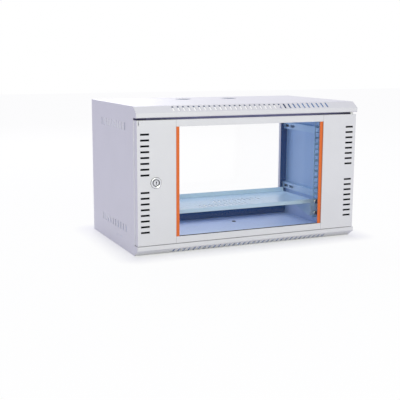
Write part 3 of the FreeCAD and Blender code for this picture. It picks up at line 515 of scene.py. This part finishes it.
def threaded(radius, start, end, pitch):
    """Profile of a threaded shank.

    Rings stand for the thread, because its slope doesn't show at this size.
    """
    depth = pitch * 0.55
    root = radius - depth
    root_drop, crest_drop = pitch * 0.35, pitch * 0.85
    points = [(radius, start)]
    for turn in range(int((start - end - pitch) / pitch)):
        level = start - pitch * (turn + 0.5)
        points += [(root, level - root_drop), (radius, level - crest_drop)]
    return points + [(root, end + depth * 0.4), (radius - depth * 1.4, end)]


def extruded(outline, low, high):
    """An upright bar of constant section, from an outline in the XY plane."""
    builder = bmesh.new()
    rings = [[builder.verts.new((x, y, z)) for x, y in outline] for z in (low, high)]
    count = len(outline)
    for place in range(count):
        after = (place + 1) % count
        builder.faces.new((rings[0][place], rings[0][after], rings[1][after], rings[1][place]))
    for ring in rings:
        builder.faces.new(ring)
    bmesh.ops.triangulate(builder, faces=[face for face in builder.faces if len(face.verts) > 4])
    return builder


def to_object(builder, name):
    mesh = bpy.data.meshes.new(name)
    builder.to_mesh(mesh)
    builder.free()
    item = bpy.data.objects.new(name, mesh)
    bpy.context.scene.collection.objects.link(item)
    return item


def cut(builder, cutters):
    """Take each cutter's shape out of the first shape."""
    blank = to_object(builder, "blank")
    tools = [to_object(cutter, "cutter") for cutter in cutters]
    for tool in tools:
        modifier = blank.modifiers.new("cut", "BOOLEAN")
        modifier.operation = "DIFFERENCE"
        modifier.solver = "EXACT"
        modifier.object = tool
    shape = bpy.data.meshes.new_from_object(blank.evaluated_get(bpy.context.evaluated_depsgraph_get()))
    for item in (blank, *tools):
        bpy.data.objects.remove(item)
    result = bmesh.new()
    result.from_mesh(shape)
    bpy.data.meshes.remove(shape)
    if not result.faces:
        raise RuntimeError("a cut left nothing")
    return result


def wedge(length, width, top, bottom, narrowing=0.55):
    """A bar whose sides close in towards the bottom."""
    builder = bmesh.new()
    rings = []
    for height, scale in ((top, 1.0), (bottom, narrowing)):
        x, y = length / 2 * scale, width / 2 * scale
        rings.append([builder.verts.new((a, b, height)) for a, b in ((-x, -y), (x, -y), (x, y), (-x, y))])
    for place in range(4):
        after = (place + 1) % 4
        builder.faces.new((rings[0][place], rings[0][after], rings[1][after], rings[1][place]))
    for ring in rings:
        builder.faces.new(ring)
    bmesh.ops.recalc_face_normals(builder, faces=builder.faces)
    return builder


def cross_recess(head_diameter, head_height):
    """Cutters for a cross recess in a head whose top is at the given height."""
    length, width = head_diameter * 0.52, head_diameter * 0.105
    top, bottom = head_height + 0.2 * MM, head_height * 0.25
    arms = [wedge(length, width, top, bottom) for _ in range(2)]
    bmesh.ops.rotate(arms[1], verts=arms[1].verts, matrix=Matrix.Rotation(math.pi / 2, 3, "Z"))
    return arms


def joined(builders_and_places):
    """One bmesh of several, each moved by its matrix."""
    result = bmesh.new()
    for builder, matrix in builders_and_places:
        builder.transform(matrix)
        mesh = bpy.data.meshes.new("shape")
        builder.to_mesh(mesh)
        builder.free()
        result.from_mesh(mesh)
        bpy.data.meshes.remove(mesh)
    return result


def facing(direction, place, spin=0.0):
    """Turns Z to the given direction, after a spin about Z, and moves to the place."""
    turn = Vector(direction).to_track_quat("Z", "Y").to_matrix().to_4x4()
    return Matrix.Translation(place) @ turn @ Matrix.Rotation(spin, 4, "Z")


def hexagon_head(flats, height, segments):
    """A hexagon head with chamfered corners, made as rings whose radius follows the hexagon."""
    corner = flats / math.sqrt(3)
    shoulder, top_radius = height * 0.78, flats / 2 * 0.97
    levels = ((0, corner), (shoulder, corner), (height, top_radius))
    builder = bmesh.new()
    rings = []
    for level, limit in levels:
        ring = []
        for step in range(segments):
            angle = math.tau * step / segments
            local = (angle + math.pi / 6) % (math.pi / 3) - math.pi / 6
            radius = min(flats / 2 / math.cos(local), limit)
            ring.append(builder.verts.new((radius * math.cos(angle), radius * math.sin(angle), level)))
        rings.append(ring)
    for lower, upper in zip(rings, rings[1:]):
        for place in range(segments):
            after = (place + 1) % segments
            builder.faces.new((lower[place], lower[after], upper[after], upper[place]))
    for ring in (rings[0], rings[-1]):
        builder.faces.new(ring)
    return builder

def ring_seal(radius, cord_radius, level, segments):
    """A ring of round rubber around Z, a little flattened."""
    steps = 12
    builder = bmesh.new()
    loops = []
    for turn in range(segments):
        angle = math.tau * turn / segments
        loop = []
        for step in range(steps):
            around = math.tau * step / steps
            reach = radius + cord_radius * math.cos(around)
            height = level + cord_radius * 0.8 * math.sin(around)
            loop.append(builder.verts.new((reach * math.cos(angle), reach * math.sin(angle), height)))
        loops.append(loop)
    for turn in range(segments):
        loop, after = loops[turn], loops[(turn + 1) % segments]
        for step in range(steps):
            beside = (step + 1) % steps
            builder.faces.new((loop[step], after[step], after[beside], loop[beside]))
    return builder


# Operators


class CABINET_OT_sheet_metal(bpy.types.Operator):
    """Powder coat the covers, panels, frame, posts, rails, shelf and door"""

    bl_idname = "cabinet.sheet_metal"
    bl_label = "Coat the sheet metal"

    def execute(self, context):
        paint = context.scene.cabinet_paint
        outer, wall = tuple(paint.outer_colour), tuple(paint.wall_shade_colour)
        floor, rear, lip_shade = tuple(paint.floor_shade_colour), tuple(paint.frame_shade_colour), tuple(paint.lip_shade_colour)
        seam_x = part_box("door_top_rail")[1].x
        dull = 0.1
        # The rear frame's faces towards the door get dark blue as painted shade.
        rear_coat = powder_coat("powder coat, rear frame in painted shade", outer, rear, front_faces_only=True, gloss=dull)
        # Inside the covers and panels, and on the rails and the shelf, bluish colours stand for painted
        # shade.
        dress(SIDE_PANELS, powder_coat("powder coat, side panels, painted shade inside", outer, wall))
        # The covers' closing lips get the lip colour as painted shade of the door's gaps.
        dress(("top_cover",), powder_coat("powder coat, top cover, painted shade inside and on the lip", outer, wall, lip=lip_shade))
        dress(("bottom_cover",), powder_coat("powder coat, bottom cover", outer, floor, lip=lip_shade))
        dress(("rear_frame",), rear_coat)
        # The posts' darker colour is painted shade behind the door.
        dress(FRONT_POSTS, powder_coat("powder coat, posts in painted shade", tuple(paint.post_shade_colour), gloss=dull))
        dress(MOUNTING_RAILS, powder_coat("powder coat, mounting rails in painted shade", tuple(paint.upright_shade_colour)))
        dress(DEPTH_RAILS, powder_coat("powder coat, depth rails in painted shade", tuple(paint.rail_shade_colour)))
        dress(DOOR_SHEETS, powder_coat("powder coat, door", outer, seam_x=seam_x))
        shelf_coat = powder_coat("powder coat, shelf in painted shade", tuple(paint.shelf_shade_colour), satin_range=(0.22, 0.30))
        dress(("shelf",), shelf_coat)
        return {"FINISHED"}


class CABINET_OT_glazing(bpy.types.Operator):
    """Finish the glass and its gaskets, and make the crowned edge strips"""

    bl_idname = "cabinet.glazing"
    bl_label = "Glaze the door"

    def execute(self, context):
        trim = context.scene.cabinet_trim
        dress(("glass_pane",), toughened_glass("toughened float glass"))
        dress(("top_gasket", "bottom_gasket"), epdm_rubber("EPDM gasket"))
        plastic = extruded_abs("extruded ABS strip", tuple(trim.strip_colour))
        for name in ("left_edge_strip", "right_edge_strip"):
            self.edge_strip(name, trim.crown, plastic)
        return {"FINISHED"}

    def edge_strip(self, name, crown, plastic):
        """A U section on the glass's edge, its front crowned."""
        low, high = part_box(name)
        glass_low, glass_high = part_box("glass_pane")
        width = high.x - low.x
        arc_steps = 10
        front = [
            (low.x + width * step / arc_steps, low.y + crown * (2 * step / arc_steps - 1) ** 2)
            for step in range(arc_steps + 1)
        ]
        glass_x = glass_low.x if name.startswith("left") else glass_high.x
        back_leg = 4.5 * MM
        if glass_x < 0:
            tip = low.x + back_leg
            back = [
                (high.x, glass_low.y), (glass_x, glass_low.y), (glass_x, glass_high.y),
                (tip, glass_high.y), (tip, high.y), (low.x, high.y),
            ]
        else:
            tip = high.x - back_leg
            back = [
                (high.x, high.y), (tip, high.y), (tip, glass_high.y), (glass_x, glass_high.y),
                (glass_x, glass_low.y), (low.x, glass_low.y),
            ]
        strip = extruded(front + back, low.z, high.z)
        add_piece(name.replace("edge", "crowned"), strip, plastic, "door", (name,))


class CABINET_OT_edging(bpy.types.Operator):
    """Make the edging of the side panels beside the door, and the plug in the floor"""

    bl_idname = "cabinet.edging"
    bl_label = "Edge the panels"

    def execute(self, context):
        pale = extruded_abs("extruded ABS, pale grey", linear_rgb("dcdce2"))
        for side in ("left", "right"):
            self.panel_edging(side, pale)
        self.floor_plug(context.scene.cabinet_fitting, epdm_rubber("EPDM plug"))
        return {"FINISHED"}

    def panel_edging(self, side, pale):
        """A bead on the front edge of a side panel, just short of the door's back."""
        panel_low, panel_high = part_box(f"{side}_side_panel")
        post_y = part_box(f"{side}_front_post")[0].y
        door_low, door_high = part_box(f"door_{side}_stile")
        outside = panel_high.x if side == "right" else panel_low.x
        towards_middle = -1 if side == "right" else 1
        wide = (2.4 if side == "right" else 3.4) * MM
        post_gap, door_gap, rounding = 1 * MM, 0.15 * MM, 0.6 * MM
        foot_y, front_y, edge_y = post_y - post_gap, door_high.y + door_gap, door_high.y + PANEL_BACKSET
        inner_face = outside + towards_middle * BODY_SHEET
        arc_steps = 6
        outline = [(inner_face, foot_y), (inner_face, edge_y), (outside, edge_y)]
        for step in range(arc_steps + 1):
            angle = math.pi * step / arc_steps
            across = wide / 2 * (1 - math.cos(angle))
            along = front_y + rounding * (1 - math.sin(angle))
            outline.append((outside + towards_middle * across, along))
        outline.append((outside + towards_middle * wide, foot_y))
        bead = extruded(outline, door_low.z, door_high.z)
        add_piece(f"{side}_panel_edging", bead, pale, "cabinet")

    def floor_plug(self, fitting, rubber):
        """A rubber plug in the small hole of the bottom cover, domed above the sheet."""
        low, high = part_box("bottom_cover")
        sheet, foot, stem = BODY_SHEET, 0.1 * MM, 2.9 * MM
        plug = turned([
            (0, foot), (2.7 * MM, foot), (stem, 0.4 * MM), (stem, sheet), (5.6 * MM, sheet),
            (6 * MM, sheet + 0.3 * MM), (5.6 * MM, sheet + 0.9 * MM), (4 * MM, sheet + 1.7 * MM),
            (2 * MM, sheet + 2.1 * MM), (0, sheet + 2.2 * MM),
        ], fitting.segments)
        plug.transform(Matrix.Translation((FLOOR_HOLE_SIDE, high.y - FLOOR_HOLE_INSET, low.z)))
        add_piece("floor_plug", plug, rubber, "cabinet")


class CABINET_OT_screens(bpy.types.Operator):
    """Make thin black foam screens behind the slots of the door's stiles, as painted shade in the slots"""

    bl_idname = "cabinet.screens"
    bl_label = "Fit the shade screens behind the slots"

    def execute(self, context):
        # Black sheets behind the slots stand for the shade in them: painted shade.
        foam = open_cell_foam("open-cell foam")
        half_width, half_height, corner, thickness = 14 * MM, 54 * MM, 4 * MM, 0.3 * MM
        arc_steps = 5
        outline = []
        for turn, (x_sign, z_sign) in enumerate(((1, 1), (-1, 1), (-1, -1), (1, -1))):
            for step in range(arc_steps + 1):
                angle = math.pi / 2 * (turn + step / arc_steps)
                outline.append((
                    x_sign * (half_width - corner) + corner * math.cos(angle),
                    z_sign * (half_height - corner) + corner * math.sin(angle),
                ))
        for side, edge in (("left", -1), ("right", 1)):
            low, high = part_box(f"door_{side}_stile")
            middle_x = (high.x if edge > 0 else low.x) - edge * DOOR_SLOT_INSET
            middle_y = low.y + BODY_SHEET + thickness / 2
            middle_z = (low.z + high.z) / 2
            strips = []
            for group in (-1, 1):
                centre = Vector((middle_x, middle_y, middle_z + group * SLOT_GROUP_OFFSET))
                strip = extruded(outline, -thickness / 2, thickness / 2)
                strips.append((strip, facing((0, -1, 0), centre)))
            add_piece(f"{side}_slot_screens", joined(strips), foam, "door")
        return {"FINISHED"}


class CABINET_OT_lock(bpy.types.Operator):
    """Make the lock's rim, barrel, seals and key face, and finish its nut, cam and screw"""

    bl_idname = "cabinet.lock"
    bl_label = "Fit the lock"

    def execute(self, context):
        fitting = context.scene.cabinet_fitting
        chrome = polished_chrome("chromed zinc casting")
        zinc = zinc_plated_steel("bright zinc plated steel, lock")
        dress(("lock_nut", "lock_cam"), zinc)
        rubber = epdm_rubber("EPDM lock seals")
        self.housing(fitting, chrome)
        self.seals(fitting, rubber)
        self.key_face(fitting, chrome)
        self.shutter(rubber)
        self.cam_screw(fitting, zinc)
        return {"FINISHED"}

    def seals(self, fitting, rubber):
        """A seal under the rim's edge and an O-ring in the groove around the plug, in black rubber that also
        stands for the shade in the rim's gap and the groove: painted shade.
        """
        low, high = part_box("lock_housing")
        face_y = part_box("door_left_stile")[0].y
        middle = Vector(((low.x + high.x) / 2, face_y, (low.z + high.z) / 2))
        rim = (high.x - low.x) / 2
        groove, cord_radius = 8.1 * MM, 0.55 * MM
        # The black rings are painted shade at the rim's gap and in the groove.
        rim_seal = ring_seal(rim - 0.1 * MM, cord_radius, 0.5 * MM, fitting.segments)
        o_ring = ring_seal(groove, cord_radius, 1.6 * MM, fitting.segments)
        seals = joined([(rim_seal, Matrix.Identity(4)), (o_ring, Matrix.Identity(4))])
        seals.transform(facing((0, -1, 0), middle))
        add_piece("lock_seals", seals, rubber, "door")

    def shutter(self, rubber):
        """The dust shutter that closes the key slot a little below the plug's face, in black rubber, which
        also darkens the slot as painted shade.
        """
        low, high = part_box("lock_plug")
        width, length, front, back, root = 1.7 * MM, 8 * MM, 5 * MM, 3.4 * MM, 6.2 * MM
        flap = wedge(width, length, front, back, narrowing=0.9)
        flap.transform(facing((0, -1, 0), ((low.x + high.x) / 2, low.y + root, (low.z + high.z) / 2)))
        add_piece("key_shutter", flap, rubber, "lock")

    def housing(self, fitting, chrome):
        """The rim and the threaded barrel, turned as one ring around the plug."""
        low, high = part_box("lock_housing")
        axis_x, axis_z = (low.x + high.x) / 2, (low.z + high.z) / 2
        rim = (high.x - low.x) / 2
        plug_low, plug_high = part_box("lock_plug")
        bore = (plug_high.x - plug_low.x) / 2 + LOCK_CLEARANCE
        seat = high.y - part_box("door_left_stile")[0].y
        tall = high.y - low.y
        barrel = LOCK_BARREL_RADIUS
        thread_start, thread_end, thread_pitch = seat - 1.5 * MM, 0.6 * MM, 1.25 * MM
        # Up the bore, over the O-ring's groove and the crowned rim, and down the threaded barrel.
        profile = [
            (bore, 0), (bore, tall - 1.4 * MM), (bore + 0.2 * MM, tall - 1.2 * MM),
            (bore + 0.3 * MM, tall - 1.7 * MM), (bore + 2.4 * MM, tall - 1.7 * MM),
            (bore + 2.6 * MM, tall - 0.7 * MM), (rim - 2.6 * MM, tall - 0.2 * MM), (rim - 2.0 * MM, tall),
            (rim - 1.2 * MM, tall - 0.1 * MM), (rim - 0.6 * MM, tall - 0.5 * MM),
            (rim - 0.1 * MM, tall - 1.3 * MM), (rim - 0.3 * MM, seat + 0.6 * MM),
            (rim - 1 * MM, seat), (barrel, seat), *threaded(barrel, thread_start, thread_end, thread_pitch),
            (barrel - 1 * MM, 0), (bore, 0),
        ]
        ring = turned(profile, fitting.segments)
        ring.transform(facing((0, -1, 0), (axis_x, high.y, axis_z)))
        add_piece("lock_bezel", ring, chrome, "door", ("lock_housing",))

    def key_face(self, fitting, chrome):
        """The turning plug, with its notched key slot and the square that carries the cam."""
        low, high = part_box("lock_plug")
        axis_x, axis_z = (low.x + high.x) / 2, (low.z + high.z) / 2
        radius = (high.x - low.x) / 2
        square_end = 2 * MM
        top = high.y - low.y - 0.3 * MM
        core = turned([
            (0, square_end), (radius, square_end), (radius, top - 0.5 * MM), (radius - 0.5 * MM, top),
            (radius - 1.6 * MM, top), (radius - 1.9 * MM, top - 0.25 * MM), (0, top - 0.25 * MM),
        ], fitting.segments)
        mouth, foot = top + 1 * MM, top - 6 * MM
        key_way = wedge(1.9 * MM, 8.2 * MM, mouth, foot, narrowing=0.98)
        notch = wedge(3.4 * MM, 1.5 * MM, mouth, foot, narrowing=0.98)
        bmesh.ops.translate(notch, verts=notch.verts, vec=(0.5 * MM, 1.6 * MM, 0))
        core = cut(core, [key_way, notch])
        square = bmesh.new()
        bmesh.ops.create_cube(square, size=1, matrix=Matrix.Diagonal((CAM_SQUARE, CAM_SQUARE, square_end, 1)))
        parts = joined([(core, Matrix.Identity(4)), (square, Matrix.Translation((0, 0, square_end / 2)))])
        parts.transform(facing((0, -1, 0), (axis_x, high.y, axis_z)))
        add_piece("key_face", parts, chrome, "lock", ("lock_plug",))

    def cam_screw(self, fitting, zinc):
        """The pan head screw that holds the cam on its square."""
        low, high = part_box("cam_screw")
        diameter, height = high.x - low.x, high.y - low.y
        radius = diameter / 2
        spin = math.radians(20)
        head = turned([
            (0, 0), (radius, 0), (radius, height * 0.45), (radius * 0.9, height * 0.8),
            (radius * 0.65, height), (0, height),
        ], fitting.segments)
        head = cut(head, cross_recess(diameter, height))
        head.transform(facing((0, 1, 0), ((low.x + high.x) / 2, low.y, (low.z + high.z) / 2), spin))
        add_piece("cam_pan_screw", head, zinc, "lock", ("cam_screw",))


class CABINET_OT_fasteners(bpy.types.Operator):
    """Make the shelf's pan head screws and the rails' hexagon bolts, and finish their nuts"""

    bl_idname = "cabinet.fasteners"
    bl_label = "Fit the screws and bolts"

    def execute(self, context):
        fitting = context.scene.cabinet_fitting
        zinc = zinc_plated_steel("bright zinc plated steel, fasteners")
        dress(("rail_nuts", "cage_nuts"), zinc)
        self.shelf_screws(fitting, zinc)
        self.rail_bolts(fitting, zinc)
        return {"FINISHED"}

    def shelf_screws(self, fitting, zinc):
        """Four pan head screws with cross recesses, through the shelf's ears."""
        low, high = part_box("shelf_screws")
        radius, height, inset = fitting.screw_head / 2, BOLT_HEAD_HEIGHT, BOLT_HEAD_RADIUS
        shank = low.y + height - high.y
        seat = low.y + height
        placed = []
        turns = (12, 57, 33, 78)
        places = [(x, z) for x in (low.x + inset, high.x - inset) for z in (low.z + inset, high.z - inset)]
        for (x, z), turn in zip(places, turns):
            head = turned([
                (0, height), (radius * 0.55, height * 0.99), (radius * 0.78, height * 0.88),
                (radius * 0.93, height * 0.62), (radius, height * 0.3), (radius, 0),
                *threaded(BOLT_RADIUS, THREAD_START, shank, fitting.thread_pitch), (0, shank),
            ], fitting.segments)
            head = cut(head, cross_recess(fitting.screw_head, height))
            placed.append((head, facing((0, -1, 0), (x, seat, z), math.radians(turn))))
        add_piece("pan_head_screws", joined(placed), zinc, "cabinet", ("shelf_screws",))

    def rail_bolts(self, fitting, zinc):
        """Four hexagon bolts through the feet of the mounting rails."""
        low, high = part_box("rail_bolts")
        flats = high.y - low.y
        corner = flats / math.sqrt(3)
        head_sides = 48
        stem_top = 0.2 * MM
        foot_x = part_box("right_mounting_rail")[1].x - RAIL_SHEET
        shank = foot_x - high.x
        middle_y = (low.y + high.y) / 2
        placed = []
        for side in (-1, 1):
            for z in (low.z + corner, high.z - corner):
                head = hexagon_head(flats, BOLT_HEAD_HEIGHT, head_sides)
                stem = turned([
                    (0, stem_top), (BOLT_RADIUS, stem_top),
                    *threaded(BOLT_RADIUS, THREAD_START, shank, fitting.thread_pitch), (0, shank),
                ], fitting.segments)
                bolt = joined([(head, Matrix.Identity(4)), (stem, Matrix.Identity(4))])
                placed.append((bolt, facing((-side, 0, 0), (foot_x * side, middle_y, z))))
        add_piece("hexagon_bolts", joined(placed), zinc, "cabinet", ("rail_bolts",))


class CABINET_OT_hinges(bpy.types.Operator):
    """Finish the hinge pins and their bushes"""

    bl_idname = "cabinet.hinges"
    bl_label = "Finish the hinges"

    def execute(self, context):
        dress(("top_hinge_pin", "bottom_hinge_pin"), zinc_plated_steel("bright zinc plated steel, hinges"))
        dress(("top_hinge_bush", "bottom_hinge_bush"), natural_nylon("moulded nylon"))
        return {"FINISHED"}


class CABINET_OT_stage(bpy.types.Operator):
    """Set up the floor, the soft light, the white surroundings and the camera"""

    bl_idname = "cabinet.stage"
    bl_label = "Set the stage"

    def execute(self, context):
        stage = context.scene.cabinet_stage
        context.scene.view_settings.view_transform = "Standard"
        self.floor()
        self.light(context, stage)
        self.surroundings(context, stage)
        self.camera(context, stage)
        return {"FINISHED"}

    def seen_directly(self, tree):
        """One for rays from the camera, and for those seen in gloss or through glass."""
        rays = add_node(tree, "ShaderNodeLightPath")
        seen = rays.outputs["Is Camera Ray"]
        for name in ("Is Glossy Ray", "Is Transmission Ray"):
            seen = add_node(
                tree, "ShaderNodeMath", {"operation": "MAXIMUM"}, {0: seen, 1: rays.outputs[name]},
            ).outputs[0]
        return seen

    def floor(self):
        """A wide floor that fades into white."""
        material = bpy.data.materials.new("pale studio floor")
        material.use_nodes = True
        tree = material.node_tree
        tree.nodes.clear()
        matt = add_node(tree, "ShaderNodeBsdfDiffuse", {"Color": (*linear_rgb("f2f2f5"), 1)})
        lit = add_node(tree, "ShaderNodeEmission", {"Color": (1, 1, 1, 1), "Strength": 1.0})
        # The shadow shows where the cabinet meets the floor, and fades into the white around it.
        place = add_node(tree, "ShaderNodeTexCoord").outputs["Object"]
        level = add_node(tree, "ShaderNodeVectorMath", {"operation": "MULTIPLY", 1: (1, 1, 0)}, {0: place})
        apart = add_node(tree, "ShaderNodeVectorMath", {"operation": "ABSOLUTE"}, {0: level.outputs[0]})
        half_size = (CAD_BOX[1].x, CAD_BOX[1].y, 0)
        fade = 60 * MM
        beyond = add_node(
            tree, "ShaderNodeVectorMath", {"operation": "SUBTRACT", 1: half_size}, {0: apart.outputs[0]},
        )
        outside = add_node(
            tree, "ShaderNodeVectorMath", {"operation": "MAXIMUM", 1: (0, 0, 0)}, {0: beyond.outputs[0]},
        )
        away = add_node(tree, "ShaderNodeVectorMath", {"operation": "LENGTH"}, {0: outside.outputs[0]})
        white_share = add_node(
            tree, "ShaderNodeMapRange", {"From Min": 0, "From Max": fade, "To Min": 0.4, "To Max": 0.95},
            {"Value": away.outputs["Value"]},
        )
        share = product(tree, self.seen_directly(tree), white_share.outputs[0])
        blend = add_node(tree, "ShaderNodeMixShader", links={0: share, 1: matt.outputs[0], 2: lit.outputs[0]})
        add_node(tree, "ShaderNodeOutputMaterial", links={"Surface": blend.outputs[0]})
        builder = bmesh.new()
        half_floor = 8
        bmesh.ops.create_grid(builder, x_segments=1, y_segments=1, size=half_floor)
        floor = to_object(builder, "floor")
        floor.data.materials.append(material)

    def light(self, context, stage):
        """A wide soft light in front and a narrower one behind, both aimed at the cabinet."""
        height, target = 1.8, Vector((0, 0, 0.15))
        for name, power, colour, width, place in (
            ("key", stage.key_power, (0.93, 0.98, 0.66), 2.4, (-0.6, -3.0, 1.9)),
            ("back", stage.back_power, (1.0, 1.0, 1.0), 1.0, (0.2, 2.3, 1.9)),
        ):
            data = bpy.data.lights.new(name, "AREA")
            data.shape = "RECTANGLE"
            data.size, data.size_y = width, height
            data.energy = power
            data.color = colour
            lamp = bpy.data.objects.new(name, data)
            context.scene.collection.objects.link(lamp)
            lamp.location = place
            aim = target - lamp.location
            lamp.rotation_euler = aim.to_track_quat("-Z", "Y").to_euler()

    def surroundings(self, context, stage):
        """Even light from all round, which is plain white where it is seen directly."""
        world = bpy.data.worlds.new("white surroundings")
        context.scene.world = world
        world.use_nodes = True
        tree = world.node_tree
        tree.nodes.clear()
        ambient = add_node(tree, "ShaderNodeBackground", {"Color": (*stage.ambient, 1), "Strength": 1.0})
        white = add_node(tree, "ShaderNodeBackground", {"Color": (1, 1, 1, 1), "Strength": 1.0})
        blend = add_node(
            tree, "ShaderNodeMixShader",
            links={0: self.seen_directly(tree), 1: ambient.outputs[0], 2: white.outputs[0]},
        )
        add_node(tree, "ShaderNodeOutputWorld", links={"Surface": blend.outputs[0]})

    def camera(self, context, stage):
        """The camera, turned to the right, tilted down and rolled."""
        data = bpy.data.cameras.new("camera")
        data.sensor_width = 36
        data.lens = stage.lens
        data.clip_end = 50
        camera = bpy.data.objects.new("camera", data)
        context.scene.collection.objects.link(camera)
        yaw, pitch, roll = stage.camera_turn
        turn = (
            Matrix.Rotation(-yaw, 3, "Z") @ Matrix.Rotation(math.pi / 2 - pitch, 3, "X")
            @ Matrix.Rotation(roll, 3, "Z")
        )
        camera.matrix_world = Matrix.Translation(stage.camera_place) @ turn.to_4x4()
        context.scene.camera = camera


class CABINET_PT_panel(bpy.types.Panel):
    """Cabinet settings and steps"""

    bl_idname = "CABINET_PT_panel"
    bl_label = "Wall cabinet"
    bl_space_type = "VIEW_3D"
    bl_region_type = "UI"
    bl_category = "Cabinet"

    def draw(self, context):
        layout = self.layout
        for step, settings, names in (
            (CABINET_OT_sheet_metal, "cabinet_paint", (
                "outer_colour", "wall_shade_colour", "floor_shade_colour", "frame_shade_colour", "post_shade_colour", "lip_shade_colour",
                "upright_shade_colour", "rail_shade_colour", "shelf_shade_colour", "peel",
            )),
            (CABINET_OT_glazing, "cabinet_trim", ("strip_colour", "crown", "glass_tint")),
            (CABINET_OT_edging, None, ()),
            (CABINET_OT_screens, None, ()),
            (CABINET_OT_lock, None, ()),
            (CABINET_OT_fasteners, "cabinet_fitting", ("screw_head", "thread_pitch", "segments")),
            (CABINET_OT_hinges, None, ()),
            (CABINET_OT_stage, "cabinet_stage", (
                "camera_place", "camera_turn", "lens", "key_power", "back_power", "ambient",
            )),
        ):
            box = layout.box()
            for name in names:
                box.prop(getattr(context.scene, settings), name)
            box.operator(step.bl_idname)


SETTINGS = {
    "cabinet_paint": CabinetPaintSettings,
    "cabinet_trim": CabinetTrimSettings,
    "cabinet_fitting": CabinetFittingSettings,
    "cabinet_stage": CabinetStageSettings,
}
CLASSES = (
    *SETTINGS.values(), CABINET_OT_sheet_metal, CABINET_OT_glazing, CABINET_OT_edging, CABINET_OT_screens,
    CABINET_OT_lock, CABINET_OT_fasteners, CABINET_OT_hinges, CABINET_OT_stage, CABINET_PT_panel,
)


def register():
    for item in CLASSES:
        bpy.utils.register_class(item)
    for name, settings in SETTINGS.items():
        setattr(bpy.types.Scene, name, PointerProperty(type=settings))


def unregister():
    for name in SETTINGS:
        delattr(bpy.types.Scene, name)
    for item in reversed(CLASSES):
        bpy.utils.unregister_class(item)


def main():
    register()
    bpy.ops.cabinet.sheet_metal()
    bpy.ops.cabinet.glazing()
    bpy.ops.cabinet.edging()
    bpy.ops.cabinet.screens()
    bpy.ops.cabinet.lock()
    bpy.ops.cabinet.fasteners()
    bpy.ops.cabinet.hinges()
    bpy.ops.cabinet.stage()


if __name__ == "__main__":
    main()
